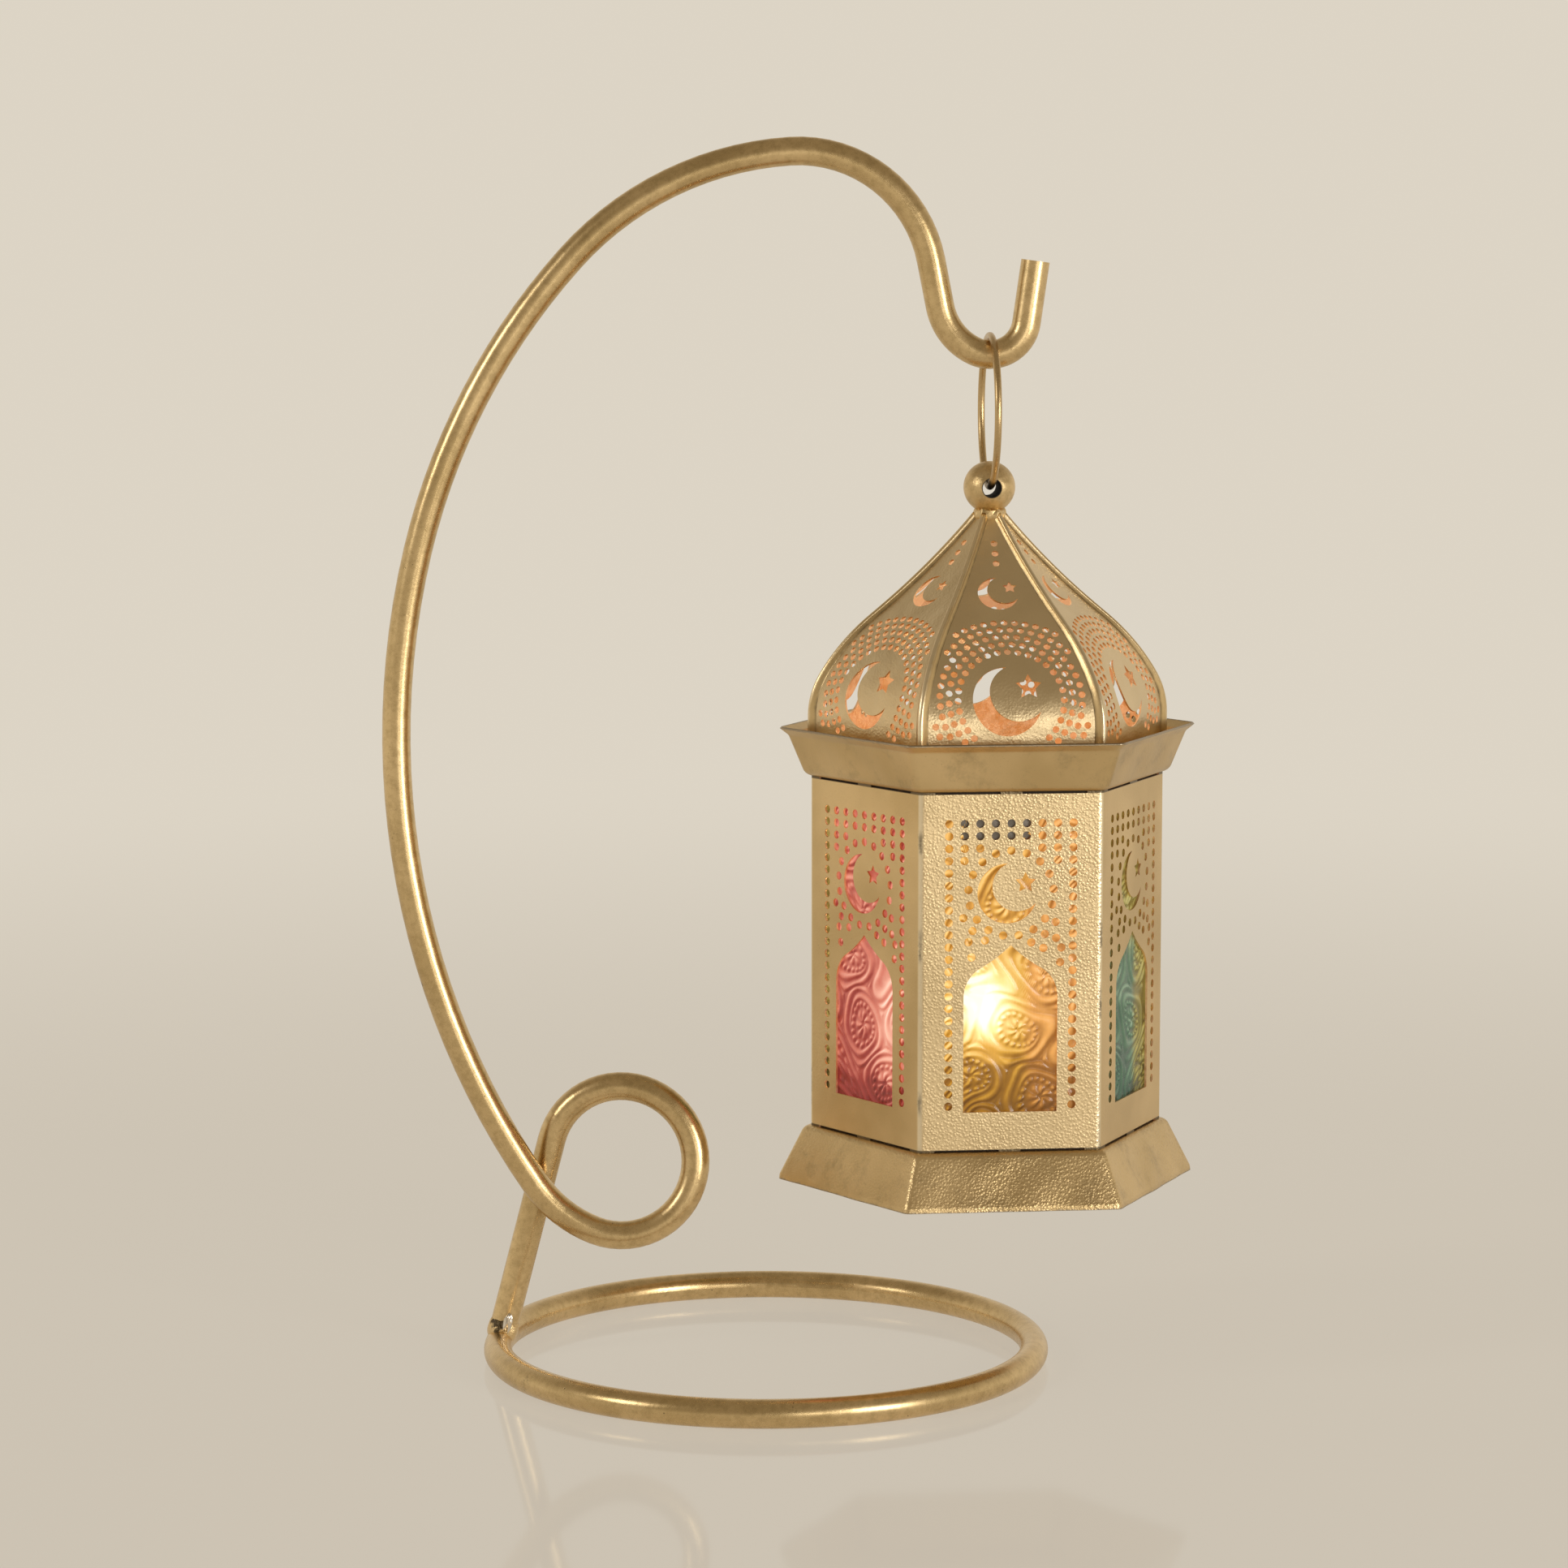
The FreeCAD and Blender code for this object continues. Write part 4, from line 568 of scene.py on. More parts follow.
def seam_points(corner):
    """Section of a seam carried up a corner of the dome, and how far across the seam each point is.

    Across the seam the hexagon falls back by the half sector's tangent, rounded near the middle; a smooth
    plateau stands on it, along the corner line's own normal. The underside lies a little inside the sheet.
    """
    path = petal_line.real / math.cos(SECTOR / 2) + 1j * petal_line.imag
    step = np.gradient(path)
    normal = -1j * step / abs(step)
    rise = (petal_line.imag - ROOF_FOOT) / (APEX - ROOF_FOOT)
    room = 0.85 * petal_line.real * CORNER_SLOPE
    half = np.minimum(SEAM_HALF * (1 - SEAM_TAPER * rise), room)[:, None]
    under = np.linspace(1.0, -1.0, SEAM_UNDER + 2)[1:-1]
    share = np.concatenate([np.linspace(-1.0, 1.0, SEAM_TOP), under])[None]
    on_top = np.arange(SEAM_TOP + SEAM_UNDER)[None] < SEAM_TOP
    across = half * share
    sharp = abs(across) * CORNER_SLOPE
    rounded = (np.hypot(across, SEAM_CREST) - SEAM_CREST) * CORNER_SLOPE
    plateau = rise_smooth(half - abs(across), 0.0, half - 0.35 * SEAM_CREST)
    lift = np.where(on_top, SEAM_RISE * plateau - SEAM_BITE, -SEAM_SINK)
    back = np.where(on_top, sharp + (rounded - sharp) * plateau, sharp)
    section = path[:, None] - back + normal[:, None] * lift
    points = on_side(corner + 0.5, across, section.real, section.imag)
    return points, np.broadcast_to(abs(share), across.shape)


def seam_paint():
    """The sheet's gold, with painted shade along the ridge's feet and a painted highlight on its crest."""
    finish = material("seam_paint")
    colour, cloud, grain = paint_colours(finish, 0.4)
    flank = finish.attribute("flank") + (finish.noise(300.0, 3.0) - 0.5) * 0.4
    # Painted shade where the ridge meets the petal.
    colour = finish.mix(flank.step(0.62, 1.0) * 0.8, colour, PAINT_SOOT_AND_SHADE)
    # Painted highlight along the crest.
    colour = finish.mix((1 - flank.step(0.15, 0.5)) * 0.6, colour, PAINT_HIGHLIGHT)
    skin = finish.bump(finish.noise(900.0, 3.0), 0.1 * MM, 0.3)
    return finish.metal(colour, 0.22 + cloud * 0.1 + grain * 0.08, skin)


seam_coat = seam_paint()
for corner in range(SIDES):
    grid, flank = seam_points(corner)
    closed = close_ends(grid)
    flank = np.concatenate([flank[:1], flank, flank[-1:]])
    build_piece(f"roof_seam_{corner + 1}", closed, "lantern", seam_coat, {"flank": flank})
print("seams", grid.shape)

# %% [markdown]
# ## Pressed pans
# Cornice and foot are each one disc of sheet, pressed over a hexagonal block: the corners come out round, the
# walls a little wavy, and the cut rim rubs bare first. Their solids have sharp mitres. A Bevel modifier would
# round the mitres but leave the walls flat, so a section is carried round a hexagon with round corners, and
# slow sines push it in and out.

# %% Pan sections
CORNICE_OPENING, CORNICE_HEIGHT, CORNICE_BEND = 30.0 * MM, 13.5 * MM, 3.0 * MM
CORNICE_SLOPE, LIP_SLOPE, LIP = math.radians(70.0), math.radians(42.0), 2.4 * MM
FOOT_HEIGHT, FOOT_BEND = 15.3 * MM, 2.5 * MM
FOOT_SLOPE, HEM_SLOPE, HEM = math.radians(66.0), math.radians(84.0), 1.0 * MM
CREASE = 2.0 * MM


def pan_path(start, level, height, bend, slope, edge, edge_slope):
    """Section of a pan: level sheet, bend, sloping wall, crease and edge; the wall takes what height is left.

    Slopes are measured from the level, downwards below zero. A bend is as high as its radius times the
    difference of its two slopes' cosines.
    """
    used = bend * (1 - math.cos(slope)) + CREASE * abs(math.cos(slope) - math.cos(edge_slope))
    wall = (height - used - edge * abs(math.sin(edge_slope))) / abs(math.sin(slope))
    legs = [(level, 0.0), (bend, slope), (wall, 0.0), (CREASE, edge_slope - slope), (edge, 0.0)]
    return follow(legs, start, 0.0, 9)


cornice_level = APOTHEM - SHEET - CORNICE_OPENING
cornice_start, foot_start = complex(CORNICE_OPENING, PAN_TOP), complex(0.0, FLOOR)
cornice_path = pan_path(
    cornice_start, cornice_level, CORNICE_HEIGHT, CORNICE_BEND, CORNICE_SLOPE, LIP, LIP_SLOPE
)
foot_path = pan_path(foot_start, APOTHEM, FOOT_HEIGHT, FOOT_BEND, -FOOT_SLOPE, HEM, -HEM_SLOPE)
print("rims", [round(path[-1].real / MM, 2) for path in (cornice_path, foot_path)], "mm from the axis")

# %% Pressed pans
FLAT_POINTS, ARC_POINTS = 40, 9


def pan_points(path, sheet, rounding, dent):
    """A sheet along a path, carried round a hexagon with round corners, and each point's way to the rim.

    A side runs straight across, then its normal turns by one sector about the corner's centre. The dents are
    sines of the place across and along the path, none on the level floor.
    """
    step = np.gradient(path)
    back = path + 1j * step / abs(step) * sheet
    length = np.concatenate([[0.0], np.cumsum(abs(np.diff(path)))])
    section = np.concatenate([path, back[::-1], path[:1]])
    rim = length[-1] - np.concatenate([length, length[::-1], length[:1]])
    half_core = np.maximum(section.real - np.minimum(rounding, 0.8 * section.real), 0.0)[:, None]
    radius = section.real[:, None] - half_core
    along = np.concatenate([np.linspace(-1.0, 1.0, FLAT_POINTS), np.ones(ARC_POINTS)])[None]
    bend = np.concatenate([np.zeros(FLAT_POINTS), np.linspace(0.0, SECTOR, ARC_POINTS + 2)[1:-1]])[None]
    x = half_core * CORNER_SLOPE * along + radius * np.sin(bend)
    wall = rise_smooth(abs(section.imag - path[0].imag), 1.0 * MM, 4.0 * MM)[:, None]
    rings = []
    for side in range(SIDES):
        wave = np.sin(x / (6.1 * MM) + 1.9 * side) * np.sin(rim[:, None] / (3.7 * MM) + side)
        wave = wave + 0.6 * np.sin(x / (2.7 * MM) - rim[:, None] / (5.0 * MM) + 2.3 * side)
        out = half_core + radius * np.cos(bend) + dent * wall * wave * (1 - along**6)
        rings.append(on_side(side, x, out, section.imag[:, None]))
    points = np.hstack(rings)
    return points, np.broadcast_to(rim[:, None], points.shape[:2])


def pan_paint(name, pebble):
    """Sheet paint with clouds of soot and a ragged rim, worn grey."""
    finish = material(name)
    colour, cloud, grain = paint_colours(finish, 0.45)
    ragged = finish.attribute("rim") + (finish.noise(500.0, 4.0, 0.7) - 0.5) * (1.2 * MM)
    colour = finish.mix((1 - ragged.step(0.05 * MM, 0.5 * MM)) * 0.75, colour, PAINT_WORN)
    stain = finish.noise(110.0, 5.0, 0.75).step(0.48, 0.74) * 0.26 + 0.02
    colour = finish.mix(stain, colour, PAINT_SOOT_AND_SHADE)
    skin = finish.bump(pebbles(finish), GRAIN_HEIGHT, pebble)
    return finish.metal(colour, 0.24 + cloud * 0.1 + grain * 0.1, skin)


# Name, node, path, sheet (to the path's left), corner radius, depth of the dents and strength of the grains
PANS = (
    ("cornice", "cornice_pan", cornice_path, SHEET, 2.6 * MM, 0.10 * MM, 0.09),
    ("foot", "base_pan", foot_path, -SHEET, 2.2 * MM, 0.16 * MM, 0.32),
)
for name, node, path, sheet, rounding, dent, pebble in PANS:
    grid, rim = pan_points(path, sheet, rounding, dent)
    paint = pan_paint(f"{name}_paint", pebble)
    build_piece(f"{name}_pressing", grid, "lantern", paint, {"rim": rim}, [node])
print("pan grid", grid.shape)

# %% [markdown]
# ## Flanges behind the walls' edges
# Between wall and pan there is a thin dark line, where the wall's edge is turned in and the gap lies in
# shade. Dark paint on the pans would show beyond the wall, so a narrow strip runs along five sides, just
# inside the walls, painted near black as painted shade. The door has none.

# %% Wall flanges
FLANGE_IN, FLANGE_OUT = 42.1 * MM, 42.75 * MM
FLANGE_HEIGHT, FLANGE_GAP = 1.6 * MM, 0.06 * MM
DOOR_SIDE = 3


def flange_points(low, high):
    """A flat section carried from corner to corner along the five fixed sides, closed at both ends."""
    corners = np.arange(SIDES) + DOOR_SIDE + 0.5
    out = np.array([FLANGE_IN, FLANGE_OUT, FLANGE_OUT, FLANGE_IN]) / math.cos(SECTOR / 2)
    height = np.array([low, low, high, high])
    return close_ends(np.stack([on_side(corner, 0 * out, out, height) for corner in corners]))


def flange_finish():
    """Raw sheet, near black as painted shade of the gap, with a few bare spots."""
    finish = material("flange_painted_shade")
    spot = finish.noise(300.0, 4.0, 0.7).step(0.55, 0.7)
    # Painted shade: the strip is near black because the gap it fills lies in shade.
    darkened = finish.mix(spot, (0.025, 0.018, 0.012), (0.16, 0.10, 0.05))
    return finish.surface(Base_Color=darkened, Metallic=0.6, Roughness=0.55 + spot * 0.2)


flange_shade_paint = flange_finish()
flange_feet = {"lower_flange": FLOOR + FLANGE_GAP, "upper_flange": PAN_TOP - FLANGE_GAP - FLANGE_HEIGHT}
for name, low in flange_feet.items():
    flange = build_piece(name, flange_points(low, low + FLANGE_HEIGHT), "lantern", flange_shade_paint)
    flange.data.shade_flat()
print("flanges at", round(FLOOR / MM, 2), "and", round(PAN_TOP / MM, 2), "mm")

# %% [markdown]
# ## Solder and weld
# The petals' tips are drowned in solder under the ball, and the bar's foot is welded to the base ring. Both
# are frozen drops. Sculpting would suit them, but a ring and an egg whose radius wanders with a few sines of
# unlike rates come out the same each time.

# %% Solder collar and weld bead
SOLDER_RADIUS, SOLDER_THICK, SOLDER_TALL, SOLDER_SINK = 3.2 * MM, 1.4 * MM, 1.7, 0.1 * MM
BAR_RADIUS = 4.0 * MM
STEM_FOOT = np.array([-76.48, 4.3, 3.8]) * MM
STEM_LEAN = math.radians(75.5)
WELD_HALF = np.array([4.45, 5.0, 5.2]) * MM
DROP_HALF = np.array([1.3, 1.0, 3.2]) * MM
DROP_SPOT = np.array([-74.0, -0.1, 10.0]) * MM
BURN_SPOT = np.array([-76.6, 0.4, 9.8]) * MM
STEM_WAY = np.array([math.cos(STEM_LEAN), 0.0, math.sin(STEM_LEAN)])


def solder_points():
    """A ring of solder, taller than wide, whose tube swells at the six seams and wanders between them."""
    turn = full_turn(96).T
    round_tube = full_turn(24)
    from_seam = turn - (LANTERN_TURN - math.pi / 2 + SECTOR / 2)
    swell = 0.85 + 0.18 * np.cos(SIDES * from_seam) + 0.08 * np.sin(5 * turn + 1) + 0.06 * np.sin(11 * turn)
    tube = SOLDER_THICK * swell * (1 + 0.05 * np.sin(3 * round_tube + 4 * turn))
    radius = SOLDER_RADIUS + tube * np.cos(round_tube)
    height = APEX - SOLDER_SINK + SOLDER_TALL * tube * np.sin(round_tube)
    points = grid_points(radius * np.cos(turn), radius * np.sin(turn), height) + AXIS
    return np.concatenate([points, points[:1]])


def egg_points(centre, half, lumps):
    """An egg leaned like the stem, its radius wandering by a few sines of latitude and longitude."""
    down = np.linspace(0.0, math.pi, 48)[:, None]
    turn = full_turn(64)
    wander = np.sin(5 * turn + 3 * down) + 0.7 * np.sin(9 * turn - 4 * down + 1)
    wander = wander + 0.5 * np.sin(7 * down + 2 * turn)
    reach = 1 + lumps * wander * np.sin(down)
    x = half[0] * reach * np.sin(down) * np.cos(turn)
    y = half[1] * reach * np.sin(down) * np.sin(turn)
    z = half[2] * reach * np.cos(down)
    return centre + grid_points(x * STEM_WAY[2] + z * STEM_WAY[0], y, z * STEM_WAY[2] - x * STEM_WAY[0])


def weld_finish():
    """Paint over a weld: gold like the bar, with one ragged burnt spot beside the bright drop."""
    finish = material("weld_paint")
    colour, cloud, grain = paint_colours(finish, 0.5)
    lump = finish.noise(420.0, 4.0, 0.65)
    reach = distance(*(part - spot for part, spot in zip(finish.parts(), BURN_SPOT)))
    darkened = (1 - (reach + (lump - 0.5) * (11.0 * MM)).step(1.6 * MM, 2.6 * MM)) * 0.9
    colour = finish.mix(darkened, colour, (0.035, 0.025, 0.015))
    return finish.metal(colour, 0.22 + cloud * 0.1 + grain * 0.1, finish.bump(lump, 1.2 * MM, 0.6))


weld_grid = egg_points(STEM_FOOT + BAR_RADIUS * STEM_WAY, WELD_HALF, 0.022)
build_piece("weld_bead", weld_grid, "stand", weld_finish(), None, ["stem_weld"])
bare_weld = plain_metal("bare_weld", (0.93, 0.84, 0.70), 0.12, 800.0)
build_piece("weld_drop", egg_points(DROP_SPOT, DROP_HALF, 0.05), "stand", bare_weld)
build_piece("roof_solder", solder_points(), "lantern", ball_coat)
print("weld and solder made")

# %% [markdown]
# ## Embossed film
# Behind each pierced wall lies a sheet of coloured film with a pressed pattern of rosettes, bead rows and
# spirals. A picture could carry the pattern, but pressing the real surface gives true highlights, and the same
# relief then colours the film.

# %% Film relief
LATTICE_WIDE, LATTICE_HIGH = 21.0, 17.0


def embossing(u, v, shift):
    """Relief from 0 to 1, u and v in millimetres.

    A staggered lattice of centres is bent by slow sines. By distance and angle from the nearest centre there
    is a rosette, then a row of beads, then a spiral; where two centres are equally far, a groove parts them.
    """
    bent_u = u + 3.6 * np.sin(v / 8.0 + shift) + 1.6 * np.sin(v / 3.9 - 2 * shift + u / 9.0)
    bent_v = v + 3.2 * np.sin(u / 6.0 + 1.7 * shift) + 1.2 * np.sin(u / 2.9 + v / 7.0)
    nearest = np.full(u.shape, 1e3)
    second = np.full(u.shape, 1e3)
    angle = np.zeros(u.shape)
    row_low = np.floor(bent_v / LATTICE_HIGH)
    for row_step in (-1, 0, 1, 2):
        row = row_low + row_step
        stagger = 0.5 * np.mod(row, 2)
        column_low = np.floor(bent_u / LATTICE_WIDE - stagger)
        for column_step in (0, 1):
            du = bent_u - (column_low + column_step + stagger) * LATTICE_WIDE
            dv = bent_v - row * LATTICE_HIGH
            far = np.hypot(du, dv)
            closer = far < nearest
            second = np.where(closer, nearest, np.minimum(second, far))
            angle = np.where(closer, np.arctan2(dv, du), angle)
            nearest = np.where(closer, far, nearest)
    petal = 0.55 + 0.45 * np.cos(7 * angle + 0.8 * nearest)
    rosette = (1 - rise_smooth(nearest, 2.4, 4.2)) * petal * rise_smooth(nearest, 0.4, 1.2)
    beads = np.exp(-(((nearest - 5.2) / 0.55) ** 2)) * (0.5 + 0.5 * np.cos(17 * angle))
    turns = 0.5 + 0.5 * np.cos(math.tau * nearest / 2.9 + 2 * angle)
    groove = rise_smooth(second - nearest, 0.2, 1.6)
    pressed = (rosette + beads + 0.8 * turns * rise_smooth(nearest, 5.8, 6.8)) * groove
    return np.clip(pressed + 0.05 * np.sin(u * 7.3 + 0.5 * np.sin(v / 3)) + 0.06, 0.0, 1.0)


print("rosettes", LATTICE_WIDE, "by", LATTICE_HIGH, "mm apart")

# %% Film light and grid
FILM_OUT = 42.22 * MM
FILM_PRESS, FILM_THICK = 0.55 * MM, 0.24 * MM
FILM_HALF, FILM_LOW, FILM_HIGH = 22.5 * MM, 3.8 * MM, 95.8 * MM
FILM_STEP = 0.4 * MM
DIP_LEFT, DIP_RIGHT = (-13.5 * MM, -11.0 * MM), (2.5 * MM, 10.5 * MM)
STRIPE_EDGE, UPPER_EDGE = (2.0 * MM, 7.0 * MM), (48.0 * MM, 62.0 * MM)


def film_light(u, v, lobe, low_edge):
    """How bright the film is, from 0 to 1.

    lobe is (u, v, half width, half height, strength) of the spot before the flame, which has a wider, weaker
    halo; below a wavy edge, where cup and floor stand behind, the film is dimmer.
    """
    spot_u, spot_v, wide, high, strength = lobe
    reach = ((u - spot_u) / wide) ** 2 + ((v - spot_v) / high) ** 2
    near_flame = strength * (0.78 * np.exp(-reach) + 0.22 * np.exp(-reach / 4))
    wavy = low_edge + 1.3 * np.sin(u / 2.7) + 0.8 * np.sin(u / 1.1)
    below = 1 - rise_smooth(v, wavy - 1.2, wavy + 1.0)
    corner = (1 - rise_smooth(v, 8.0, 19.0)) * 0.12
    climb = 0.10 * rise_smooth(v, 14.0, 60.0) - 0.05
    return 0.39 + climb + near_flame * (1 - 0.7 * below) - 0.10 * below - corner


def film_grid(side, left, notch, upper, lobe, low_edge):
    """A pressed film: front face, then back face, as one flat tube whose two ends close.

    left trims its left edge, and notch is how deep its top edge dips over the middle, in metres; upper is how
    much of the second tone its upper half takes. shade is the relief's slope along the light, which is what
    makes one flank of a pressed line pale and the other dark.
    """
    columns = int(round((2 * FILM_HALF - left) / FILM_STEP))
    rows = int(round((FILM_HIGH - FILM_LOW) / FILM_STEP))
    u = np.linspace(left - FILM_HALF, FILM_HALF, columns)[None]
    dip = rise_smooth(u, *DIP_LEFT) * (1 - rise_smooth(u, *DIP_RIGHT))
    share = np.concatenate([[0.0], np.linspace(0.0, 1.0, rows), [1.0]])[:, None]
    v = FILM_LOW + (FILM_HIGH - notch * dip - FILM_LOW) * share
    u = np.broadcast_to(u, v.shape)
    relief = embossing(u / MM, v / MM, 0.9 * side)
    values = {
        "relief": relief,
        "shade": np.gradient(relief, axis=1) * 0.6 - np.gradient(relief, axis=0) * 0.8,
        "light": film_light(u / MM, v / MM, lobe, low_edge),
        "stripe": np.maximum(rise_smooth(u, *STRIPE_EDGE), upper * rise_smooth(v, *UPPER_EDGE)),
    }
    half = np.full(share.shape, FILM_THICK / 2)
    half[[0, -1]] = 0.0
    middle = FILM_OUT + FILM_PRESS * relief
    front, back = (on_side(side, u, middle + way * half, FLOOR + v) for way in (1, -1))
    tube = np.hstack([front, back[:, ::-1]])
    return tube, {key: np.hstack([value, value[:, ::-1]]) for key, value in values.items()}


print("film", round(2 * FILM_HALF / MM), "by", round((FILM_HIGH - FILM_LOW) / MM), "mm")

# %% [markdown]
# ## Colours of the film
# The candle lights the film from behind, nearly white before the flame and deep in the corners. Light that
# really passes through would need many samples, so the film gives off its light itself, in colours read off a
# row of stops by how bright it is there. A second row is the tint that some films change to.

# %% Film colours
RAMP_PLACES = (0.0, 0.3, 0.5, 0.75, 1.0)
AMBER = (
    (0.07, 0.026, 0.004), (0.29, 0.135, 0.014), (0.64, 0.36, 0.055), (1.0, 0.78, 0.32), (1.0, 0.97, 0.85)
)
CORAL = (
    (0.07, 0.026, 0.008), (0.31, 0.125, 0.025), (0.72, 0.36, 0.10), (1.0, 0.70, 0.32), (1.0, 0.95, 0.82)
)
ROSE = (
    (0.07, 0.008, 0.008), (0.30, 0.045, 0.036), (0.62, 0.20, 0.14), (0.92, 0.54, 0.40), (1.0, 0.90, 0.80)
)
TEAL = (
    (0.006, 0.015, 0.010), (0.025, 0.06, 0.040), (0.08, 0.145, 0.085), (0.30, 0.40, 0.26), (0.85, 0.95, 0.82)
)
OLIVE = (
    (0.014, 0.011, 0.003), (0.07, 0.055, 0.012), (0.22, 0.17, 0.035), (0.52, 0.45, 0.15), (0.95, 0.9, 0.6)
)


def film_finish(name, tones, stripe_tones):
    """Lit film: a ramp read by light, slope and relief, so that pressed lines have pale and dark flanks."""
    finish = material(name)
    relief = finish.attribute("relief")
    heat = finish.attribute("light") + finish.attribute("shade") * 0.5 + (relief - 0.4) * 0.14
    heat = heat + (finish.noise(260.0, 4.0) - 0.5) * 0.22
    plain = finish.ramp(heat, tuple(zip(RAMP_PLACES, tones)))
    stripe = finish.ramp(heat, tuple(zip(RAMP_PLACES, stripe_tones)))
    tinted = finish.mix(finish.attribute("stripe"), plain, stripe)
    return finish.surface(
        Base_Color=finish.mix(0.5, tinted, tones[1]),
        Roughness=0.16 + relief * 0.12,
        Alpha=0.88,
        Emission_Color=tinted,
        Emission_Strength=0.8,
    )


amber = film_finish("amber_film", AMBER, CORAL)
rose = film_finish("rose_film", ROSE, ROSE)
teal = film_finish("teal_film", TEAL, OLIVE)
# Node, side, body, finish, slot, left trim, dip, upper second tone, bright spot, edge of the dim foot; in mm
FILMS = (
    ("pane_1", 0, "lantern", amber, "pane_amber", 0.0, 9.6, 0.3, (-8.0, 41.0, 7.5, 9.0, 0.78), 25.0),
    ("pane_2", 1, "lantern", teal, "pane_teal", 0.0, 0.0, 1.0, (2.0, 34.0, 8.0, 16.0, 0.08), 12.0),
    ("pane_3", 2, "lantern", rose, "pane_pink", 0.0, 0.0, 0.3, (0.0, 40.0, 9.0, 18.0, 0.20), 14.0),
    ("door_pane", 3, "door", amber, "pane_amber", 0.0, 0.0, 0.3, (0.0, 40.0, 7.0, 11.0, 0.45), 22.0),
    ("pane_4", 4, "lantern", teal, "pane_teal", 0.0, 0.0, 1.0, (0.0, 40.0, 9.0, 18.0, 0.20), 14.0),
    ("pane_5", 5, "lantern", rose, "pane_pink", 7.4, 0.0, 0.3, (10.0, 34.0, 6.0, 16.0, 0.32), 17.0),
)
for node, side, body, finish, slot, left, notch, upper, lobe, low_edge in FILMS:
    grid, values = film_grid(side, left * MM, notch * MM, upper, lobe, low_edge)
    build_piece(f"{node}_film", grid, body, finish, values, [node])
print("film of", grid.shape[0] * grid.shape[1], "points")

# %% [markdown]
# ## Solder patch
# The front film stops short below the top dots, and a grey smear of solder that fixes its upper edge shows
# through them. A grey stain on the film would look as flat as the film; this is a thin cushion with an uneven
# edge, between the film's dip and the wall.

# %% Patch behind the top dots
PATCH_MIDDLE, PATCH_HALF = (-4.5 * MM, 90.2 * MM), (10.5 * MM, 4.4 * MM)
PATCH_OUT, PATCH_THICK = 42.62 * MM, 0.42 * MM
PATCH_FRONT, PATCH_BACK = 24, 8


def patch_points():
    """A squarish disc in polar form, bulging outwards and wavy at its edge, with a flat back."""
    share = np.concatenate([np.linspace(0.0, 1.0, PATCH_FRONT), np.linspace(1.0, 0.0, PATCH_BACK)])[:, None]
    turn = full_turn(96)
    square = (abs(np.cos(turn)) ** 5 + abs(np.sin(turn)) ** 5) ** -0.2
    wavy = square * (1 + 0.05 * np.sin(7 * turn) + 0.03 * np.sin(13 * turn + 1))
    u = PATCH_MIDDLE[0] + PATCH_HALF[0] * share * wavy * np.cos(turn)
    v = PATCH_MIDDLE[1] + PATCH_HALF[1] * share * wavy * np.sin(turn)
    lumps = 0.75 + 0.25 * np.sin(u / (1.3 * MM)) * np.sin(v / (1.1 * MM))
    swell = np.sqrt(np.maximum(1 - share**4, 0.0)) * lumps
    swell[PATCH_FRONT:] = 0.0
    return on_side(0, u, PATCH_OUT + PATCH_THICK * (swell - 0.5), FLOOR + v)


solder = plain_metal("grey_solder", (0.22, 0.195, 0.165), 0.4, 700.0)
build_piece("film_solder", patch_points(), "lantern", solder)
print("solder patch", [round(2 * half / MM, 1) for half in PATCH_HALF], "mm")

# %% [markdown]
# ## Tealight
# A tealight is a drawn foil cup with shallow flutes and a rolled rim, wax with a molten pool, and a braided
# wick that curls and chars. A Screw modifier would turn plain profiles; with height and angle as the two
# parameters the flutes, the ripples and the curl come with them.

# %% Cup
CUP_RADIUS, CUP_HEIGHT, CUP_SHEET = 19.0 * MM, 16.0 * MM, 0.3 * MM
CUP_RIM, CUP_TOE, FLUTE_DEPTH = 0.55 * MM, 0.6 * MM, 0.16 * MM
CUP_FOOT = cup_low.z
FLUTES = 48


def turned_points(radius, height, turn):
    """Points at a radius and height round the lantern's axis, over the tealight's foot."""
    return grid_points(radius * np.cos(turn), radius * np.sin(turn), height + CUP_FOOT) + AXIS


def cup_points():
    """Half a section, turned once: out along the foot, up the wall, over a rolled rim and down inside.

    Flutes are a cosine of the angle, strongest halfway up the wall.
    """
    foot = np.array([0.0, 9.0, 17.4]) * MM
    wall = np.linspace(0.0, 1.0, 20)
    wall_radius = CUP_RADIUS - 0.5 * MM - CUP_TOE * (1 - wall) ** 6
    wall_height = 0.2 * MM + wall * (CUP_HEIGHT - 1.3 * MM)
    roll = np.linspace(-0.5, 1.4, 12) * math.pi
    rim_radius = CUP_RADIUS - CUP_RIM + CUP_RIM * np.cos(roll)
    rim_height = CUP_HEIGHT - CUP_RIM + CUP_RIM * np.sin(roll)
    inside_radius = np.full(12, CUP_RADIUS - 1.2 * MM)
    inside_height = np.linspace(CUP_HEIGHT - 1.4 * MM, CUP_SHEET, 12)
    radius = np.concatenate([foot, wall_radius, rim_radius, inside_radius, foot[1::-1]])[:, None]
    height = np.concatenate([0 * foot, wall_height, rim_height, inside_height, [CUP_SHEET] * 2])[:, None]
    turn = full_turn(6 * FLUTES)
    on_wall = rise_smooth(height, 0.6 * MM, 3.0 * MM) * (1 - rise_smooth(height, 12.0 * MM, 15.0 * MM))
    return turned_points(radius - FLUTE_DEPTH * on_wall * (1 + np.cos(FLUTES * turn)), height, turn)


foil = plain_metal("drawn_foil", (0.83, 0.83, 0.82), 0.22, 900.0)
build_piece("fluted_cup", cup_points(), "tealight", foil, None, ["tealight_cup"])
print("cup on", round(CUP_FOOT, 4), "with", FLUTES, "flutes")

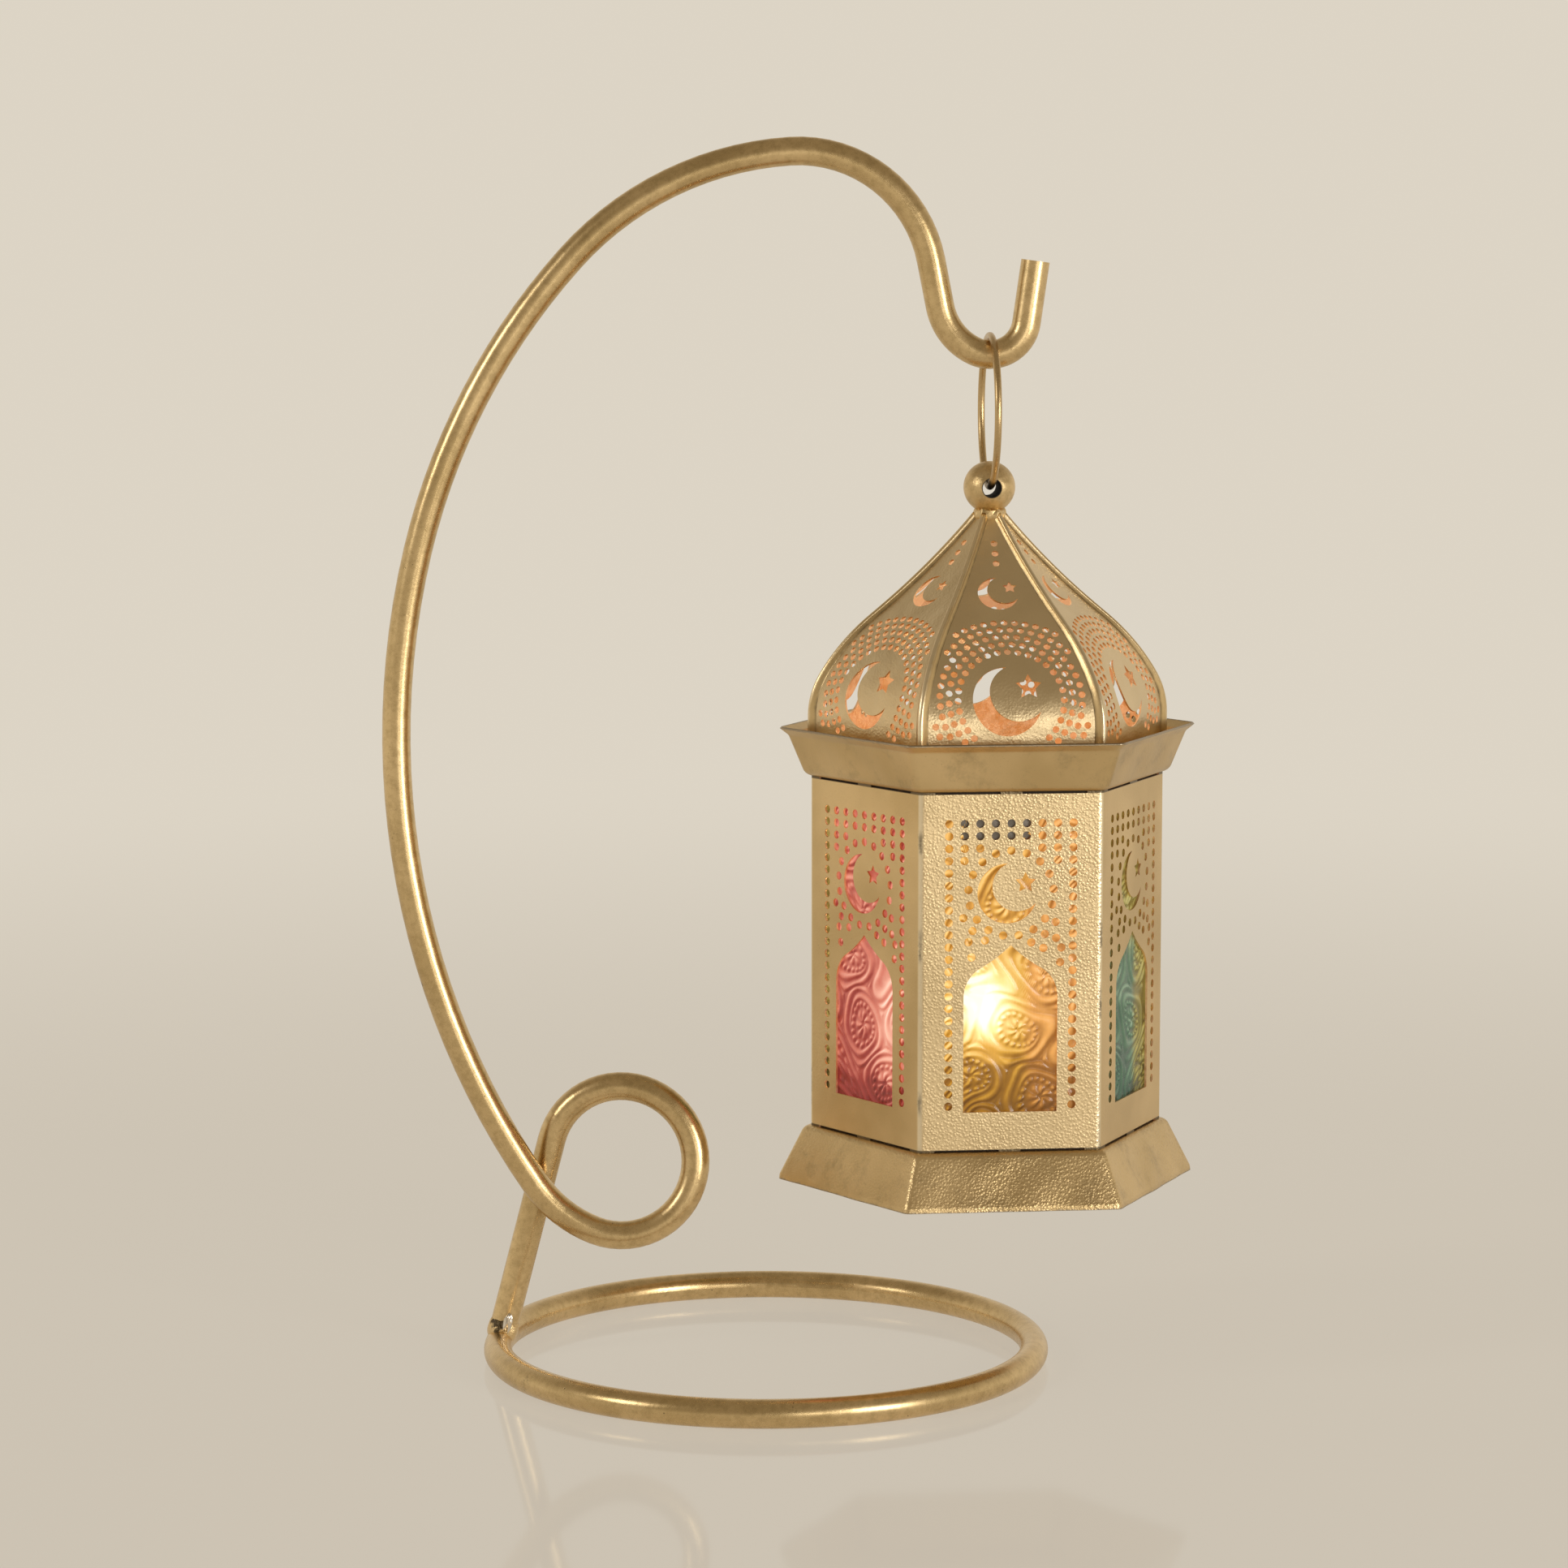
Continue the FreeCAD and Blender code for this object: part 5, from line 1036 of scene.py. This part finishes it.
# %% Wax
WAX_LOW, WAX_TOP, WAX_RADIUS = 0.4 * MM, 11.8 * MM, 18.6 * MM
WAX_INSET, POOL_DEPTH, POOL_CLIMB, POOL_RIPPLE = 1.0 * MM, 0.9 * MM, 0.35 * MM, 0.12 * MM


def wax_points():
    """A disc with a molten pool: the top sinks towards the wick and climbs the cup's wall at its edge."""
    share = np.linspace(1.0, 0.0, 40)
    sunk = POOL_DEPTH * (1 - rise_smooth(share, 0.1, 0.8)) - POOL_CLIMB * rise_smooth(share, 0.93, 1.0)
    side = WAX_RADIUS - WAX_INSET
    top = WAX_RADIUS * share - WAX_INSET * (share > 0)
    radius = np.maximum(np.concatenate([[0.0, 8.0 * MM, side, side], top]), 0.0)[:, None]
    height = np.concatenate([[WAX_LOW, WAX_LOW, WAX_LOW, 5.0 * MM], WAX_TOP - sunk])[:, None]
    turn = full_turn(128)
    ripple = POOL_RIPPLE * np.sin(3 * turn + 0.7) * rise_smooth(radius, 6.0 * MM, 12.0 * MM)
    return turned_points(radius, height + ripple * (height > WAX_TOP / 2), turn)


def wax_finish():
    """White paraffin: clear and wet in the pool, duller and finely frosted near the rim.

    It gives off painted light, the flame's orange glow in the pool, dimmer near the rim.
    """
    finish = material("paraffin")
    x, y, _ = finish.parts()
    ragged = distance(x - AXIS[0], y - AXIS[1]) + (finish.noise(250.0, 3.0) - 0.5) * (4.0 * MM)
    solid = ragged.step(10.0 * MM, 13.0 * MM)
    return finish.surface(
        Base_Color=finish.mix(solid, (0.86, 0.74, 0.52), (0.90, 0.87, 0.80)),
        Roughness=0.08 + solid * 0.4,
        Normal=finish.bump(finish.noise(900.0, 3.0) * solid, 0.1 * MM, 0.5),
        # Painted light: the wax glows with the flame's light, strongest in the pool.
        Emission_Color=finish.mix(solid, (1.0, 0.62, 0.25), (0.35, 0.2, 0.08)),
        Emission_Strength=0.35,
    )


build_piece("wax_pool", wax_points(), "tealight", wax_finish(), None, ["tealight_wax"])
print("wax", round((WAX_TOP - WAX_LOW) / MM, 1), "mm deep")

# %% Wick
WICK_RADIUS, WICK_CURL = 0.8 * MM, 1.6 * MM
WICK_FOOT, WICK_TOP = 0.8 * MM, 17.8 * MM


def wick_points():
    """A round section carried up a line that curls at its top; the section bulges as braid does."""
    share = np.linspace(0.0, 1.0, 60)[:, None]
    turn = full_turn(24)
    braid = 0.9 + 0.1 * np.sin(90 * share + 2 * turn)
    thick = WICK_RADIUS * (1 - 0.35 * rise_smooth(share, 0.85, 1.0)) * braid
    points = turned_points(thick, WICK_FOOT + share * (WICK_TOP - WICK_FOOT), turn)
    points[..., 0] += WICK_CURL * rise_smooth(share, 0.6, 1.0) ** 2
    return close_ends(points)


def wick_finish():
    """Cotton below, char above, with a glowing tip."""
    finish = material("charred_wick")
    z = finish.parts()[2] - CUP_FOOT
    darkened = (z + (finish.noise(900.0, 2.0) - 0.5) * (2.0 * MM)).step(12.5 * MM, 14.5 * MM)
    return finish.surface(
        Base_Color=finish.mix(darkened, (0.62, 0.55, 0.42), (0.02, 0.017, 0.014)),
        Roughness=0.9,
        Normal=finish.bump(finish.noise(1800.0, 2.0), 0.3 * MM, 0.7),
        Emission_Color=finish.mix(z.step(17.0 * MM, WICK_TOP), BLACK, (1.0, 0.28, 0.04)),
        Emission_Strength=1.5,
    )


build_piece("curled_wick", wick_points(), "tealight", wick_finish(), None, ["wick"])
print("wick", round((WICK_TOP - WICK_FOOT) / MM, 1), "mm long")

# %% [markdown]
# ## Flame
# The candle is lit, and its flame shows through the front film as a white spot. It is a teardrop turned about
# the wick, dim and bluish at its root and white in its belly. Smoke simulation would be far too much for it.

# %% Flame
FLAME_LOW, FLAME_HIGH, FLAME_HALF, FLAME_LEAN = 15.5 * MM, 41.0 * MM, 3.6 * MM, 0.4 * WICK_CURL


def flame_points():
    """A teardrop: the radius is a sine of a power of the height's share, thinner towards the tip."""
    share = np.linspace(0.0, 1.0, 64)[:, None]
    turn = full_turn(40)
    radius = FLAME_HALF * np.sin(math.pi * share**0.72) ** 0.9 * (1 - 0.25 * share)
    points = turned_points(radius, FLAME_LOW + share * (FLAME_HIGH - FLAME_LOW), turn)
    points[..., 0] += FLAME_LEAN
    return points, share * np.ones_like(turn)


def flame_finish():
    """Light by height: a faint blue root, amber, then a white belly and a yellow tip."""
    finish = material("flame")
    stops = (
        (0.0, (0.02, 0.03, 0.08)),
        (0.3, (0.35, 0.15, 0.03)),
        (0.5, (1.0, 0.78, 0.42)),
        (0.75, (1.0, 0.88, 0.6)),
        (1.0, (0.9, 0.45, 0.12)),
    )
    light = finish.ramp(finish.attribute("rise"), stops)
    return finish.surface(Base_Color=BLACK, Roughness=1.0, Emission_Color=light, Emission_Strength=14.0)


flame_grid, flame_rise = flame_points()
build_piece("flame", flame_grid, "tealight", flame_finish(), {"rise": flame_rise})
print("flame", round((FLAME_HIGH - FLAME_LOW) / MM, 1), "mm high")

# %% [markdown]
# ## Floor
# The stand is on a polished pale sheet that fades into the background. A sweep of paper would need light of
# its own, so part of the sheet's brightness, and all of it far away, is the background's own colour: no edge
# shows, while shadow and reflection stay.

# %% Floor
FLOOR_HALF = 6.0
BACKDROP = (0.72, 0.66, 0.56)
FLOOR_LIGHT = (0.80, 0.72, 0.62)
FLOOR_SHADED = tuple(0.94 * part for part in FLOOR_LIGHT)
FLOOR_FADE = (0.35, 1.4)
FLOOR_GLOW, FLOOR_MIRRORED = 0.62, 0.95


def shown(finish, mirrored):
    """1 where the background is seen directly or through film, and a given share where metal mirrors it."""
    kinds = ("Camera", "Transmission", "Glossy")
    seen, through, glossy = (finish.node("ShaderNodeLightPath", output=f"Is {kind} Ray") for kind in kinds)
    return seen.math("MAXIMUM", through).math("MAXIMUM", glossy * mirrored)


def floor_finish():
    """A smooth sheet, mixed with the background's plain light by how far away it is."""
    finish = material("floor_pale")
    x, y, _ = finish.parts()
    far = distance(x, y).step(*FLOOR_FADE)
    tone = finish.mix(finish.noise(9.0, 5.0, 0.6), FLOOR_SHADED, FLOOR_LIGHT)
    finish.surface(Base_Color=tone, Roughness=0.07, Specular_IOR_Level=0.45)
    glow = finish.node("ShaderNodeEmission", None, {"Color": BACKDROP, "Strength": 1.0})
    share = (far * (1 - FLOOR_GLOW) + FLOOR_GLOW) * shown(finish, FLOOR_MIRRORED)
    sheet = Wire(finish, finish.shader.outputs[0])
    both = finish.node("ShaderNodeMixShader", None, {0: share, 1: sheet, 2: glow})
    finish.feed(finish.tree.nodes["Material Output"].inputs["Surface"], both)
    return finish.owner


floor_mesh = bpy.data.meshes.new("floor")
floor_corners = np.array([[-1, -1, 0], [1, -1, 0], [1, 1, 0], [-1, 1, 0]]) * FLOOR_HALF
floor_mesh.from_pydata(floor_corners.tolist(), [], [(0, 1, 2, 3)])
floor_mesh.materials.append(floor_finish())
floor = bpy.data.objects.new("floor", floor_mesh)
bpy.context.scene.collection.objects.link(floor)
print("floor", 2 * FLOOR_HALF, "m wide")

# %% [markdown]
# ## Surroundings
# Paint of this kind only looks like metal when its surroundings have light and dark sides. A picture of a
# room would give them, and two colours do too: pale behind and below, half as pale in front, and dim above.

# %% Surroundings
CEILING = (0.31, 0.26, 0.19)
PALE_AWAY, PALE_RIGHT, PALE_UP, PALE_LEVEL = 0.4, 0.06, -1.2, 0.76

world = bpy.data.worlds.new("studio")
bpy.context.scene.world = world
sky = Finish(world)
right, away, up = sky.parts("Generated")
pale = (away * PALE_AWAY + right * PALE_RIGHT + up * PALE_UP + PALE_LEVEL).step(-0.1, 0.8)
background = sky.tree.nodes["Background"]
sky.feed(background.inputs["Color"], sky.mix(shown(sky, pale), CEILING, BACKDROP))
print("surroundings from", CEILING, "to", BACKDROP)

# %% [markdown]
# ## Lamps
# A large softbox on the right, a small one beside the camera and a fill on the left light the object. Point
# lamps would be simpler, but metal paint shows them as hard dots. The floor takes the lamps' light and shadow
# but would also mirror their shapes, so each lamp hangs twice: one lights all but the floor, and one that no
# surface mirrors lights the floor alone.

# %% Lamps
AIM = Vector((0.0, 0.0, 0.15))
LAMPS = (
    ("key", (1.25, -1.25, 0.34), (0.5, 0.62), 9.0),
    ("front", (0.52, -1.55, 0.22), (0.36, 0.4), 0.9),
    ("fill", (-1.45, -0.75, 0.9), (0.4, 0.5), 4.0),
)


def floor_link(state):
    """A lamp's list of what it lights: the floor alone (INCLUDE), or all but the floor (EXCLUDE)."""
    group = bpy.data.collections.new(f"floor_{state.lower()}")
    group.objects.link(floor)
    group.collection_objects[0].light_linking.link_state = state
    return group


def hang_lamp(name, lamp, place, lights, mirrored):
    """A lamp at a place, aimed at the object, with the list of what it lights."""
    holder = bpy.data.objects.new(name, lamp)
    holder.location = place
    holder.rotation_euler = (AIM - Vector(place)).to_track_quat("-Z", "Y").to_euler()
    holder.light_linking.receiver_collection = lights
    holder.visible_camera = False
    holder.visible_glossy = mirrored
    bpy.context.scene.collection.objects.link(holder)


floor_alone, all_but_floor = floor_link("INCLUDE"), floor_link("EXCLUDE")
for name, place, size, power in LAMPS:
    softbox = bpy.data.lights.new(name, "AREA")
    softbox.shape = "RECTANGLE"
    softbox.size, softbox.size_y = size
    softbox.energy = power
    hang_lamp(name, softbox, place, all_but_floor, True)
    hang_lamp(f"{name}_floor", softbox, place, floor_alone, False)
print(len(LAMPS), "lamps")

# %% [markdown]
# ## Camera
# The object is seen from a little above with a long lens, which keeps its upright lines nearly parallel. The
# camera could be aimed by eye; its place was fitted to the base ring's ellipse and the lantern's corners.

# %% Camera
CAMERA_PLACE = Vector((5.14, -1285.4, 321.6)) * MM
CAMERA_PITCH = math.radians(6.917)
FOCAL_PIXELS, IMAGE_PIXELS, SENSOR = 5656.0, 1932.0, 36.0

camera = bpy.data.cameras.new("camera")
camera.sensor_width = SENSOR
camera.lens = FOCAL_PIXELS / IMAGE_PIXELS * SENSOR
camera_holder = bpy.data.objects.new("camera", camera)
camera_holder.location = CAMERA_PLACE
camera_holder.rotation_euler = (math.pi / 2 - CAMERA_PITCH, 0.0, 0.0)
bpy.context.scene.collection.objects.link(camera_holder)
bpy.context.scene.camera = camera_holder
bpy.context.scene.view_settings.view_transform = "Standard"
print("camera lens", round(camera.lens, 1), "mm")

# %% [markdown]
